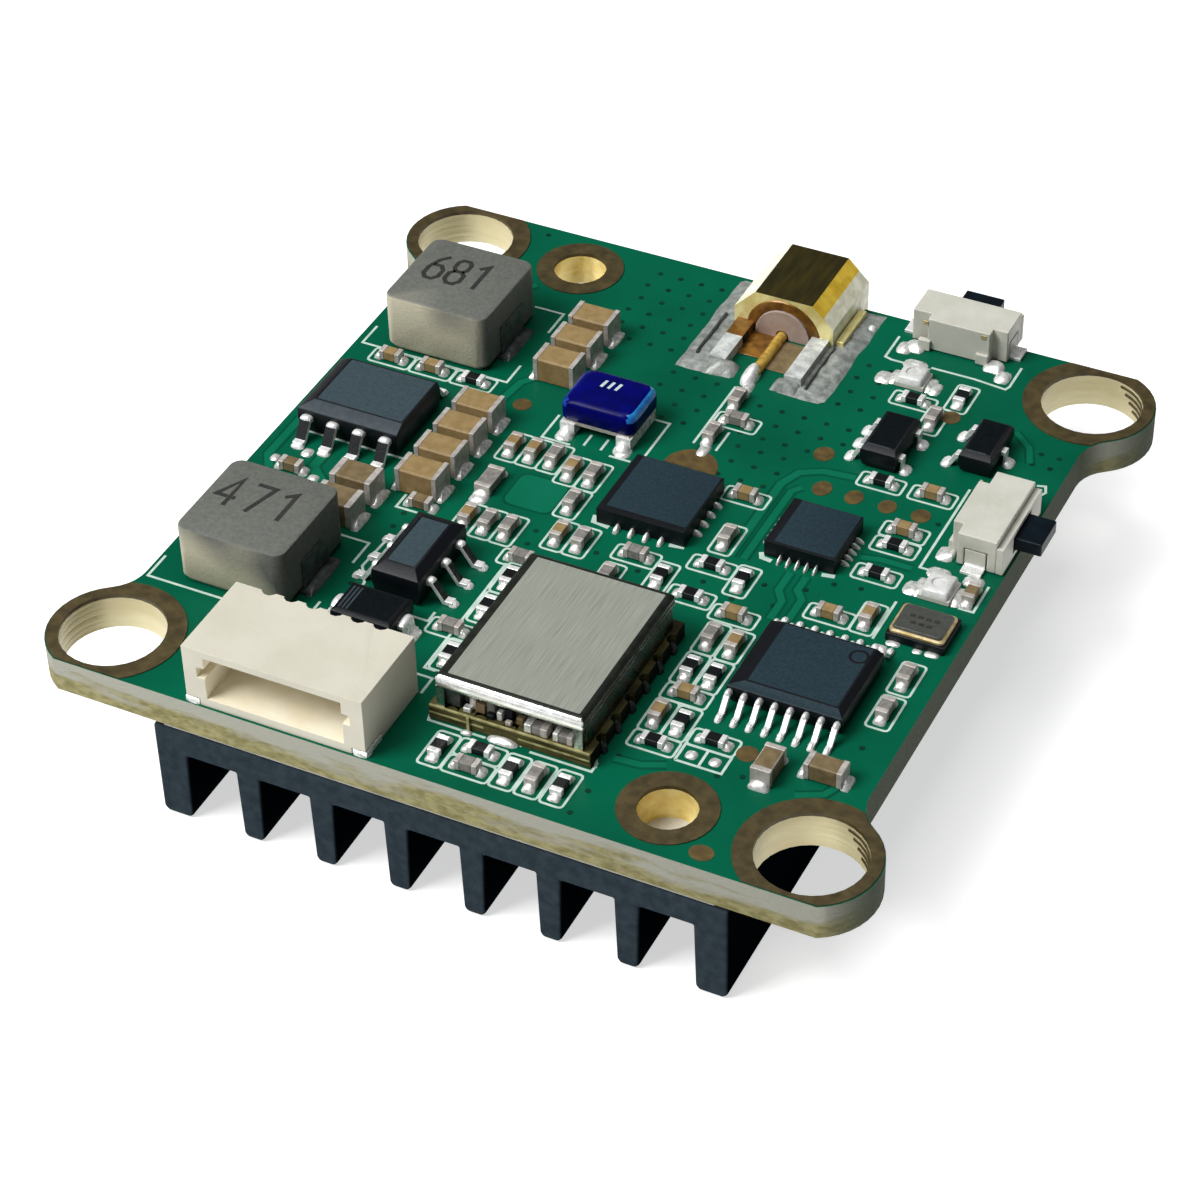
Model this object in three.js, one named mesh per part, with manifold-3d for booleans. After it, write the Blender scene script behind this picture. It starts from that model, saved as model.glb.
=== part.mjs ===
// A small radio transmitter board of the kind that is stacked in a drone frame: a four-lobed
// circuit board with chips, two side-push buttons, a wire connector and a coaxial socket on top,
// and a finned heat sink taped underneath. It stands on the fin tips.
//
// Units are millimetres. The parts are laid out around the centre of the four mounting holes,
// with the top face of the board at z = 0. The assembly is then lifted onto its fin tips and moved
// so that the origin is under the centre of its bounding box.

import * as THREE from 'three';
import { mergeVertices } from 'three/addons/utils/BufferGeometryUtils.js';
import Module from 'manifold-3d';

const wasm = await Module();
wasm.setup();

// ---------------------------------------------------------------- driving dimensions

// Board.
const BOARD_THICKNESS = 1.6;
const HOLE_PITCH = 30.5;
const HOLE_RADIUS = 2.2;
const LOBE_RADIUS = 2.75;
const BOARD_HALF_WIDTH = 16.0;
const BOARD_HALF_DEPTH = 17.7;
const LOBE_FILLET = 1.8;
const SMALL_HOLE_RADIUS = 1.2;
const SMALL_HOLE_X = 9.35;
const SMALL_HOLE_Y = 15.25;

// Copper plating in the holes.
const PLATING_WALL = 0.08;
const PLATING_GAP = 0.02;
const RING_THICKNESS = 0.05;
const RING_RADIUS = 3.0;
const UNDERSIDE_RING_RADIUS = 2.8;
const SMALL_RING_RADIUS = 2.0;

// Heat sink and its tape.
const TAPE_THICKNESS = 0.2;
const SINK_WIDTH = 25.05;
const SINK_LENGTH = 30.0;
const SINK_HEIGHT = 4.7;
const SINK_BASE = 1.3;
const SINK_CENTRE_X = 0.43;
const FIN_COUNT = 8;
const FIN_PITCH = 3.32;
const FIN_WIDTH = 1.1;
const END_FIN_WIDTH = 1.45;

// Wire connector: six contacts, one millimetre apart, mouth at the front edge.
const CONNECTOR_CENTRE_X = -6.34;
const CONNECTOR_WIDTH = 8.0;
const CONNECTOR_DEPTH = 4.25;
const CONNECTOR_HEIGHT = 2.85;
const CONNECTOR_FRONT_Y = -17.6;
const CONTACT_COUNT = 6;
const CONTACT_PITCH = 1.0;
const CONTACT_WIDTH = 0.25;

// Coaxial socket, set into a slot in the rear edge.
const COAX_X = 1.2;
const COAX_AXIS_Z = 0.15;
const COAX_FRONT_Y = 14.2;
const COAX_REAR_Y = 18.3;
const COAX_HALF_WIDTH = 2.37;
const COAX_HALF_HEIGHT = 1.92;
const COAX_CHAMFER = 1.0;
const COAX_SLOT_CLEARANCE = 0.1;
const COAX_BORE_RADIUS = 1.35;
const COAX_PIN_RADIUS = 0.25;

// Side-push buttons. Each is laid out with its back on local y = 0 and its plunger along +y.
const SWITCH_WIDTH = 4.45;
const SWITCH_DEPTH = 2.15;
const SWITCH_HEIGHT = 1.65;
const SWITCH_FRAME = 0.3;
const PLUNGER_REACH = 3.6;
const PLUNGER_WIDTH = 1.8;
const PLUNGER_LOW = 0.42;
const PLUNGER_HIGH = 1.04;
const REAR_SWITCH = { x: 8.65, y: 16.0, turn: 0 };
const RIGHT_SWITCH = { x: 13.45, y: 4.94, turn: -Math.PI / 2 };

// Moulded power inductors.
const INDUCTOR_SIDE = 5.0;
const INDUCTOR_HEIGHT = 2.8;
const INDUCTOR_CORNER = 0.5;
const FRONT_INDUCTOR = { x: -12.0, y: -8.85 };
const REAR_INDUCTOR = { x: -12.05, y: 8.8 };

// Radio module.
const MODULE = { x0: -1.25, x1: 5.75, y0: -14.5, y1: -5.95 };
const MODULE_BOARD = 0.7;
const SHIELD = { x0: -0.95, x1: 5.45, y0: -14.45, y1: -6.15 };
const SHIELD_TOP = 2.3;
const SHIELD_WALL = 0.2;

// Large ceramic capacitors: a column of four and a column of three.
const CAPACITOR = { length: 1.95, width: 1.27, height: 1.2, end: 0.38 };
const MIDDLE_COLUMN = { x: -8.26, y: 3.2, pitch: -1.71, count: 4 };
const REAR_COLUMN = { x: -6.5, y: 10.92, pitch: -1.74, count: 3 };

const LED_HEIGHT = 0.55;

// Where the model stands.
const LAYOUT_TO_FLOOR = BOARD_THICKNESS + TAPE_THICKNESS + SINK_HEIGHT;
const REAR_TIP_Y = REAR_SWITCH.y + PLUNGER_REACH;
const ORIGIN_Y = (REAR_TIP_Y - BOARD_HALF_DEPTH) / 2;

const HOLE = HOLE_PITCH / 2;
const UNDERSIDE = -BOARD_THICKNESS;
const SINK_FRONT_Y = -BOARD_HALF_DEPTH;

// ---------------------------------------------------------------- finishes

const finish = (color, roughness, metalness) => ({ color, roughness, metalness });
const MASK = finish(0x006b4b, 0.35, 0.0);
const COPPER_RING = finish(0x6b5a35, 0.5, 0.7);
const GOLD = finish(0xa88a3c, 0.3, 1.0);
const TAPE = finish(0xe9e7e0, 0.8, 0.0);
const ANODISED = finish(0x333d48, 0.55, 0.6);
const IVORY = finish(0xe4ddcf, 0.5, 0.0);
const TINNED = finish(0xc9c8c4, 0.3, 1.0);
const PTFE = finish(0xcdb9ac, 0.55, 0.0);
const BLACK_PLASTIC = finish(0x14181f, 0.45, 0.0);
const FERRITE = finish(0x7c7873, 0.7, 0.1);
const WINDING = finish(0xb0703c, 0.4, 1.0);
const CHIP = finish(0x232b33, 0.6, 0.0);
const BLUE = finish(0x0a0a8c, 0.15, 0.0);
const SHIELD_METAL = finish(0xa9a89c, 0.4, 1.0);
const CERAMIC = finish(0xb79a6a, 0.5, 0.0);
const LENS = finish(0xe8e6dc, 0.3, 0.0);
const LID = finish(0x77746f, 0.35, 1.0);

// ---------------------------------------------------------------- solids

// A closed geometry as a solid that can be joined and cut.
function solid(geometry) {
  const bare = geometry.index ? geometry.toNonIndexed() : geometry.clone();
  bare.deleteAttribute('normal');
  bare.deleteAttribute('uv');
  const merged = mergeVertices(bare, 1e-5);
  return new wasm.Manifold(new wasm.Mesh({
    numProp: 3,
    vertProperties: new Float32Array(merged.attributes.position.array),
    triVerts: new Uint32Array(merged.index.array),
  }));
}

// A solid as a geometry that three.js can show.
function surface(body) {
  const mesh = body.getMesh();
  const geometry = new THREE.BufferGeometry();
  geometry.setAttribute('position', new THREE.BufferAttribute(mesh.vertProperties, 3));
  geometry.setIndex(new THREE.BufferAttribute(mesh.triVerts, 1));
  geometry.computeVertexNormals();
  return geometry;
}

function join(first, ...others) {
  return others.reduce((body, other) => body.add(other), first);
}

function cut(first, ...others) {
  return others.reduce((body, other) => body.subtract(other), first);
}

// A block between two corners.
function block(x0, x1, y0, y1, z0, z1) {
  const geometry = new THREE.BoxGeometry(x1 - x0, y1 - y0, z1 - z0);
  geometry.translate((x0 + x1) / 2, (y0 + y1) / 2, (z0 + z1) / 2);
  return solid(geometry);
}

// A block given by its middle in plan and its size.
function slab(x, y, width, depth, z0, z1) {
  return block(x - width / 2, x + width / 2, y - depth / 2, y + depth / 2, z0, z1);
}

function extruded(points, holes, depth) {
  const shape = new THREE.Shape(points.map(([a, b]) => new THREE.Vector2(a, b)));
  for (const hole of holes) {
    shape.holes.push(new THREE.Path(hole.map(([a, b]) => new THREE.Vector2(a, b))));
  }
  return new THREE.ExtrudeGeometry(shape, { depth, bevelEnabled: false });
}

// A plan outline raised from z0 to z1.
function plate(points, z0, z1, holes = []) {
  const geometry = extruded(points, holes, z1 - z0);
  geometry.translate(0, 0, z0);
  return solid(geometry);
}

// A profile in x and z drawn out from y0 to y1.
function barAlongY(points, y0, y1) {
  const geometry = extruded(points, [], y1 - y0);
  geometry.rotateX(Math.PI / 2);
  geometry.translate(0, y1, 0);
  return solid(geometry);
}

// A profile in y and z drawn out from x0 to x1.
function barAlongX(points, x0, x1) {
  const geometry = extruded(points, [], x1 - x0);
  geometry.rotateX(Math.PI / 2);
  geometry.rotateZ(Math.PI / 2);
  geometry.translate(x0, 0, 0);
  return solid(geometry);
}

// A turned piece on an upright axis through (x, y). The profile lists radius and height.
function turnedUpright(profile, x, y, segments) {
  const geometry = new THREE.LatheGeometry(profile.map(([r, z]) => new THREE.Vector2(r, z)), segments);
  geometry.rotateX(Math.PI / 2);
  geometry.translate(x, y, 0);
  return solid(geometry);
}

// A turned piece on an axis along y through (x, z). The profile lists radius and y.
function turnedAlongY(profile, x, z, segments) {
  const geometry = new THREE.LatheGeometry(profile.map(([r, y]) => new THREE.Vector2(r, y)), segments);
  geometry.translate(x, 0, z);
  return solid(geometry);
}

// Points on an arc, with both ends.
function arc(cx, cy, radius, from, to, steps) {
  const points = [];
  for (let i = 0; i <= steps; i += 1) {
    const angle = from + ((to - from) * i) / steps;
    points.push([cx + radius * Math.cos(angle), cy + radius * Math.sin(angle)]);
  }
  return points;
}

function circle(cx, cy, radius, segments) {
  return arc(cx, cy, radius, 0, 2 * Math.PI, segments).slice(0, segments);
}

// A rectangle with round corners.
function roundRectangle(x0, x1, y0, y1, radius, steps = 4) {
  const quarter = Math.PI / 2;
  return [
    ...arc(x1 - radius, y0 + radius, radius, -quarter, 0, steps),
    ...arc(x1 - radius, y1 - radius, radius, 0, quarter, steps),
    ...arc(x0 + radius, y1 - radius, radius, quarter, 2 * quarter, steps),
    ...arc(x0 + radius, y0 + radius, radius, 2 * quarter, 3 * quarter, steps),
  ];
}

// ---------------------------------------------------------------- the assembly

const assembly = new THREE.Group();
assembly.position.set(0, -ORIGIN_Y, LAYOUT_TO_FLOOR);

function add(name, body, look, parent = assembly) {
  const mesh = new THREE.Mesh(surface(body), new THREE.MeshStandardMaterial(look));
  mesh.name = name;
  parent.add(mesh);
}

// ---------------------------------------------------------------- circuit board

// The rear right corner: the hollow fillet off the side edge, then the lobe around the hole.
function cornerPath(inset) {
  const lobe = LOBE_RADIUS - inset;
  const side = BOARD_HALF_WIDTH - inset;
  const fillet = LOBE_FILLET + inset;
  const filletX = side + fillet;
  const reachX = filletX - HOLE;
  const reachY = Math.sqrt((lobe + fillet) ** 2 - reachX ** 2);
  const towardLobe = Math.atan2(reachY, -reachX);
  const rearAngle = Math.asin((BOARD_HALF_DEPTH - inset - HOLE) / lobe);
  return [
    ...arc(filletX, HOLE - reachY, fillet, Math.PI, towardLobe, 5),
    ...arc(HOLE, HOLE, lobe, Math.atan2(-reachY, reachX), rearAngle, 13).slice(1),
  ];
}

function boardOutline(inset) {
  const corner = cornerPath(inset);
  const mirror = (points, sx, sy) => points.map(([x, y]) => [x * sx, y * sy]);
  return [
    ...corner,
    ...mirror(corner, -1, 1).reverse(),
    ...mirror(corner, -1, -1),
    ...mirror(corner, 1, -1).reverse(),
  ];
}

const mountingHoles = [
  ['front_left', -HOLE, -HOLE],
  ['front_right', HOLE, -HOLE],
  ['rear_left', -HOLE, HOLE],
  ['rear_right', HOLE, HOLE],
];
const smallHoles = [
  ['small_front', SMALL_HOLE_X, -SMALL_HOLE_Y],
  ['small_rear', -SMALL_HOLE_X, SMALL_HOLE_Y],
];

function makeBoard() {
  const wallRadius = (radius) => radius + PLATING_WALL + PLATING_GAP;
  const holes = [
    ...mountingHoles.map(([, x, y]) => circle(x, y, wallRadius(HOLE_RADIUS), 32)),
    ...smallHoles.map(([, x, y]) => circle(x, y, wallRadius(SMALL_HOLE_RADIUS), 24)),
  ];
  const slotHalf = COAX_HALF_WIDTH + COAX_SLOT_CLEARANCE;
  const slot = block(
    COAX_X - slotHalf, COAX_X + slotHalf,
    COAX_FRONT_Y - COAX_SLOT_CLEARANCE, BOARD_HALF_DEPTH + 1,
    UNDERSIDE - 1, 1,
  );
  add('circuit_board', cut(plate(boardOutline(0), UNDERSIDE, 0, holes), slot), MASK);
}

// A plated hole: the copper barrel and the flat rings that it spreads into on the faces.
function makePlating(name, x, y, radius, topRing, lowRing, segments) {
  const outer = radius + PLATING_WALL;
  const low = lowRing ? UNDERSIDE - RING_THICKNESS : UNDERSIDE;
  let body = turnedUpright([
    [radius, low], [outer, low], [outer, RING_THICKNESS], [radius, RING_THICKNESS], [radius, low],
  ], x, y, segments);
  const ring = (ringRadius, z0, z1) => plate(
    circle(x, y, ringRadius, segments + 8), z0, z1, [circle(x, y, radius + PLATING_WALL / 2, segments)],
  );
  const inside = plate(boardOutline(0.05), UNDERSIDE - 1, 1);
  body = join(body, ring(topRing, 0, RING_THICKNESS).intersect(inside));
  if (lowRing) {
    body = join(body, ring(lowRing, UNDERSIDE - RING_THICKNESS, UNDERSIDE).intersect(inside));
  }
  add(`hole_plating_${name}`, body, COPPER_RING);
}

// ---------------------------------------------------------------- heat sink

function makeTape() {
  const edge = 0.45;
  add('thermal_pad', block(
    SINK_CENTRE_X - SINK_WIDTH / 2 + edge, SINK_CENTRE_X + SINK_WIDTH / 2 - edge - 0.15,
    SINK_FRONT_Y + 0.1, SINK_FRONT_Y + SINK_LENGTH - 0.2,
    UNDERSIDE - TAPE_THICKNESS, UNDERSIDE,
  ), TAPE);
}

// The extruded profile: a flat base with straight fins whose tips have softened corners.
function makeHeatSink() {
  const left = SINK_CENTRE_X - SINK_WIDTH / 2;
  const top = UNDERSIDE - TAPE_THICKNESS;
  const root = top - SINK_BASE;
  const tip = top - SINK_HEIGHT;
  const soft = 0.2;
  const taper = 0.08;
  const firstCentre = SINK_CENTRE_X - (FIN_PITCH * (FIN_COUNT - 1)) / 2;
  const points = [[left, top]];
  for (let i = 0; i < FIN_COUNT; i += 1) {
    const isFirst = i === 0;
    const isLast = i === FIN_COUNT - 1;
    const centre = firstCentre + i * FIN_PITCH;
    const x0 = isFirst ? left : centre - FIN_WIDTH / 2;
    const finRight = isLast ? left + SINK_WIDTH : centre + FIN_WIDTH / 2;
    const x1 = isFirst ? left + END_FIN_WIDTH : finRight;
    const start = isLast ? x1 - END_FIN_WIDTH : x0;
    if (!isFirst) points.push([start, root]);
    points.push([start + (isFirst ? 0 : taper), tip + soft], [start + soft, tip]);
    points.push([x1 - soft, tip], [x1 - (isLast ? 0 : taper), tip + soft]);
    if (!isLast) points.push([x1, root]);
  }
  points.push([left + SINK_WIDTH, top]);
  add('heat_sink', barAlongY(points, SINK_FRONT_Y, SINK_FRONT_Y + SINK_LENGTH), ANODISED);
}

// ---------------------------------------------------------------- wire connector

const MOUTH_HALF_WIDTH = 3.05;
const MOUTH_FLOOR = 0.42;
const MOUTH_ROOF = 2.25;
const MOUTH_DEPTH = 3.3;
const CONTACT_LOW = 1.15;
const CONTACT_HIGH = 1.4;
const ANCHOR_HALF_SPAN = CONNECTOR_WIDTH / 2;

function contactX(index) {
  return CONNECTOR_CENTRE_X + (index - (CONTACT_COUNT - 1) / 2) * CONTACT_PITCH;
}

function makeConnectorHousing() {
  const cx = CONNECTOR_CENTRE_X;
  const front = CONNECTOR_FRONT_Y;
  const rear = front + CONNECTOR_DEPTH;
  const half = CONNECTOR_WIDTH / 2;
  let body = block(cx - half, cx + half, front, rear, 0, CONNECTOR_HEIGHT);
  const mouthRear = front + MOUTH_DEPTH;
  body = cut(
    body,
    block(cx - MOUTH_HALF_WIDTH, cx + MOUTH_HALF_WIDTH, front - 1, mouthRear, MOUTH_FLOOR, MOUTH_ROOF),
    block(cx - MOUTH_HALF_WIDTH - 0.35, cx + MOUTH_HALF_WIDTH + 0.35, front - 1, mouthRear, 1.45, 1.95),
  );
  for (let i = 0; i < CONTACT_COUNT; i += 1) {
    const x = contactX(i);
    const slot = CONTACT_WIDTH / 2 + 0.05;
    body = cut(
      body,
      block(x - slot, x + slot, mouthRear - 0.1, rear + 1, -1, CONTACT_HIGH + 0.05),
      plate(circle(x, rear + 0.12, 0.34, 10), CONTACT_HIGH - 0.2, CONNECTOR_HEIGHT + 1),
    );
  }
  for (const side of [-1, 1]) {
    const outer = cx + side * half;
    const inner = outer - side * 0.62;
    const tongue = outer - side * 0.66;
    const tongueOuter = outer - side * 0.4;
    body = cut(
      body,
      block(Math.min(outer + side, inner), Math.max(outer + side, inner), front - 1, front + 1.25, -1, 0.32),
      block(Math.min(tongue, tongueOuter), Math.max(tongue, tongueOuter), front + 0.3, front + 1.25, -1, 1.2),
    );
  }
  add('connector_housing', body, IVORY);
}

// A contact: a pin inside the mouth, a drop behind the rear wall and a foot on the board.
function makeContacts() {
  const rear = CONNECTOR_FRONT_Y + CONNECTOR_DEPTH;
  const tip = CONNECTOR_FRONT_Y + 0.9;
  const foot = rear + 0.85;
  const drop = rear - 0.12;
  const thick = 0.2;
  const profile = [
    [tip, CONTACT_LOW + 0.06], [drop, CONTACT_LOW], [drop, 0], [foot, 0], [foot, thick],
    [drop + thick, thick], [drop + thick, CONTACT_HIGH], [tip + 0.2, CONTACT_HIGH], [tip, CONTACT_HIGH - 0.06],
  ];
  for (let i = 0; i < CONTACT_COUNT; i += 1) {
    const x = contactX(i);
    add(`connector_contact_${i + 1}`,
      barAlongX(profile, x - CONTACT_WIDTH / 2, x + CONTACT_WIDTH / 2), TINNED);
  }
}

// A solder anchor: a foot beside the mouth and a tongue up into the housing wall.
function makeAnchors() {
  const y0 = CONNECTOR_FRONT_Y;
  for (const [name, side] of [['left', -1], ['right', 1]]) {
    const outer = CONNECTOR_CENTRE_X + side * ANCHOR_HALF_SPAN;
    const span = (a, b) => [Math.min(outer + side * a, outer + side * b), Math.max(outer + side * a, outer + side * b)];
    const foot = block(...span(-0.58, 0.05), y0, y0 + 1.2, 0, 0.28);
    const tongue = block(...span(-0.62, -0.44), y0 + 0.35, y0 + 1.2, 0, 1.15);
    add(`connector_anchor_${name}`, join(foot, tongue), TINNED);
  }
}

// ---------------------------------------------------------------- coaxial socket

const COAX_SHELF_Y = 15.9;
const LEG_LENGTH = 3.15;
const LEG_HEIGHT = 0.5;

function makeCoaxShell() {
  const hw = COAX_HALF_WIDTH;
  const hh = COAX_HALF_HEIGHT;
  const c = COAX_CHAMFER;
  const section = [
    [hw, -hh + c], [hw, hh - c], [hw - c, hh], [-hw + c, hh],
    [-hw, hh - c], [-hw, -hh + c], [-hw + c, -hh], [hw - c, -hh],
  ].map(([x, z]) => [COAX_X + x, COAX_AXIS_Z + z]);
  const bar = barAlongY(section, COAX_FRONT_Y, COAX_REAR_Y);
  const bore = turnedAlongY([
    [0, COAX_FRONT_Y - 1], [COAX_BORE_RADIUS, COAX_FRONT_Y - 1], [COAX_BORE_RADIUS, COAX_SHELF_Y],
    [1.6, COAX_SHELF_Y + 0.25], [1.6, COAX_REAR_Y + 1], [0, COAX_REAR_Y + 1],
  ], COAX_X, COAX_AXIS_Z, 24);
  const legs = [-1, 1].map((side) => slab(
    COAX_X + side * 1.8, COAX_FRONT_Y - LEG_LENGTH / 2 + 0.1, 0.8, LEG_LENGTH + 0.2, 0, LEG_HEIGHT,
  ));
  add('coax_shell', join(cut(bar, bore), ...legs), GOLD);
}

function makeCoaxInsulator() {
  const outer = COAX_BORE_RADIUS - 0.05;
  const inner = COAX_PIN_RADIUS + 0.05;
  const y0 = COAX_FRONT_Y - 0.15;
  const y1 = COAX_SHELF_Y - 0.1;
  const tube = turnedAlongY([[inner, y0], [outer, y0], [outer, y1], [inner, y1], [inner, y0]],
    COAX_X, COAX_AXIS_Z, 24);
  add('coax_insulator', cut(tube, block(-9, 9, 9, COAX_FRONT_Y - 0.1, -9, 0)), PTFE);
}

// The centre contact: a solder pin at the front and a slotted socket at the rear.
function makeCoaxContact() {
  const pin = COAX_PIN_RADIUS;
  const rod = turnedAlongY([
    [0, 10.6], [pin * 0.6, 10.6], [pin, 10.9], [pin, COAX_SHELF_Y], [0.5, COAX_SHELF_Y],
    [0.5, 17.7], [0.28, 17.7], [0.28, 16.6], [0, 16.6],
  ], COAX_X, COAX_AXIS_Z, 12);
  const belowBoard = block(-9, 9, 9, COAX_FRONT_Y - 0.1, -9, 0);
  const split = block(COAX_X - 0.06, COAX_X + 0.06, 16.8, 18.5, -9, 9);
  add('coax_center_contact', cut(rod, belowBoard, split), GOLD);
}

// ---------------------------------------------------------------- side-push buttons

function makeSwitch(prefix, place) {
  const group = new THREE.Group();
  group.position.set(place.x, place.y, 0);
  group.rotation.z = place.turn;
  assembly.add(group);
  const half = SWITCH_WIDTH / 2;
  const backStep = 0.45;
  const cavity = { half: 1.4, y0: 0.95, z0: 0.3, z1: 1.3 };
  const outline = [
    [half, backStep], [half, SWITCH_DEPTH], [-half, SWITCH_DEPTH], [-half, backStep],
    [-1.35, backStep], [-1.35, 0], [1.55, 0], [1.55, backStep],
  ];
  const housing = cut(
    plate(outline, 0.05, SWITCH_HEIGHT),
    block(-cavity.half, cavity.half, cavity.y0, SWITCH_DEPTH + 1, cavity.z0, cavity.z1),
    block(half - 0.3, half + 1, 0.75, 1.75, -1, 0.95),
    block(-half - 1, -half + 0.3, 0.75, 1.75, -1, 0.95),
  );
  add(`${prefix}_housing`, housing, IVORY, group);

  const frame = cut(
    block(-half, half, SWITCH_DEPTH, SWITCH_DEPTH + SWITCH_FRAME, 0.05, 1.35),
    block(-PLUNGER_WIDTH / 2 - 0.1, PLUNGER_WIDTH / 2 + 0.1, SWITCH_DEPTH - 1, SWITCH_DEPTH + 1, 0.3, 1.16),
  );
  add(`${prefix}_frame`, frame, IVORY, group);

  // The snap dome stands on edge at the back of the cavity and bulges towards the plunger.
  const domePoints = arc(0, -1.56, 2.95, 1.97, Math.PI - 1.97, 8);
  const domeBack = arc(0, -1.56, 2.85, Math.PI - 1.97, 1.97, 8);
  const dome = plate([...domePoints.reverse(), ...domeBack.reverse()], 0.45, 1.15);
  add(`${prefix}_dome`, dome, TINNED, group);

  for (const [name, side] of [['left', -1], ['right', 1]]) {
    const xs = (a, b) => [Math.min(side * a, side * b), Math.max(side * a, side * b)];
    const upright = block(...xs(half - 0.2, half), 0.8, 1.7, 0, 0.9);
    const foot = block(...xs(half - 0.2, half + 0.5), 0.8, 1.7, 0, 0.15);
    add(`${prefix}_terminal_${name}`, join(upright, foot), TINNED, group);
  }

  const stem = block(-PLUNGER_WIDTH / 2, PLUNGER_WIDTH / 2, 1.72, PLUNGER_REACH, PLUNGER_LOW, PLUNGER_HIGH);
  const flange = block(-1.25, 1.25, 1.72, SWITCH_DEPTH - 0.01, PLUNGER_LOW, PLUNGER_HIGH);
  add(`${prefix}_plunger`, join(stem, flange), BLACK_PLASTIC, group);
}

// ---------------------------------------------------------------- inductors

// A pressed powder core with a ring-shaped chamber, open to two sides through low channels,
// and a coil in the chamber whose ends come out through the channels as the terminals.
function makeInductor(prefix, place) {
  const group = new THREE.Group();
  group.position.set(place.x, place.y, 0);
  assembly.add(group);
  const half = INDUCTOR_SIDE / 2;
  const chamfer = INDUCTOR_CORNER;
  const outline = [
    [half - chamfer, -half], [half, -half + chamfer], [half, half - chamfer], [half - chamfer, half],
    [-half + chamfer, half], [-half, half - chamfer], [-half, -half + chamfer], [-half + chamfer, -half],
  ];
  const chamber = turnedUpright([[0.8, 0.5], [1.95, 0.5], [1.95, 2.2], [0.8, 2.2], [0.8, 0.5]], 0, 0, 20);
  const channel = block(-half - 1, half + 1, -0.7, 0.7, -1, 0.9);
  const post = turnedUpright([[0, 0.5], [0.8, 0.5], [0.8, 2.3], [0, 2.3]], 0, 0, 20);
  const core = join(cut(plate(outline, 0.05, INDUCTOR_HEIGHT), chamber, channel), post);
  add(`${prefix}_core`, core, FERRITE, group);

  const coil = turnedUpright([[0.95, 0.75], [1.8, 0.75], [1.8, 2.05], [0.95, 2.05], [0.95, 0.75]], 0, 0, 20);
  const tails = [-1, 1].map((side) => {
    const xs = (a, b) => [Math.min(side * a, side * b), Math.max(side * a, side * b)];
    return join(
      block(...xs(1.2, 1.5), -0.5, 0.5, 0.1, 0.9),
      block(...xs(1.2, half + 0.12), -0.5, 0.5, 0, 0.25),
      block(...xs(half, half + 0.12), -1.3, 1.3, 0, 1.1),
    );
  });
  add(`${prefix}_winding`, join(coil, ...tails), WINDING, group);
}

// ---------------------------------------------------------------- chips

// A leaded package seen from the end: chamfered top edges and gull-wing leads on two sides.
// The leads run along y; turn = true lays them along x instead.
function makeLeadedChip(name, spec) {
  const { x, y, width, depth, height, span, leadWidth, leads, turn } = spec;
  const half = depth / 2;
  const bevel = 0.3;
  const body = barAlongX([
    [-half, 0.1], [half, 0.1], [half, height - bevel], [half - bevel, height],
    [-half + bevel, height], [-half, height - bevel],
  ], -width / 2, width / 2);
  const mid = height * 0.5;
  const thick = 0.16;
  const tip = span / 2;
  const knee = half + 0.22;
  const pieces = leads.map(([offset, side]) => barAlongX(
    side > 0
      ? [
        [half - 0.2, mid], [knee, mid], [knee + 0.12, 0], [tip, 0], [tip, thick], [knee + 0.3, thick],
        [knee + 0.16, mid + thick], [half - 0.2, mid + thick],
      ]
      : [
        [-half + 0.2, mid + thick], [-knee - 0.16, mid + thick], [-knee - 0.3, thick], [-tip, thick],
        [-tip, 0], [-knee - 0.12, 0], [-knee, mid], [-half + 0.2, mid],
      ],
    offset - leadWidth / 2, offset + leadWidth / 2,
  ));
  const group = new THREE.Group();
  group.position.set(x, y, 0);
  group.rotation.z = turn ? -Math.PI / 2 : 0;
  assembly.add(group);
  add(name, join(body, ...pieces), CHIP, group);
}

// Evenly spaced leads on both sides of a package.
function leadRow(count, pitch, sides = [-1, 1]) {
  const offsets = Array.from({ length: count }, (_, i) => (i - (count - 1) / 2) * pitch);
  return sides.flatMap((side) => offsets.map((offset) => [offset, side]));
}

// A leadless package: a plain body on a slightly smaller foot.
function makeLeadlessChip(name, x, y, side, height) {
  const body = join(
    slab(x, y, side, side, 0.05, height),
    slab(x, y, side - 0.1, side - 0.1, 0, 0.1),
  );
  add(name, body, CHIP);
}

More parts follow.
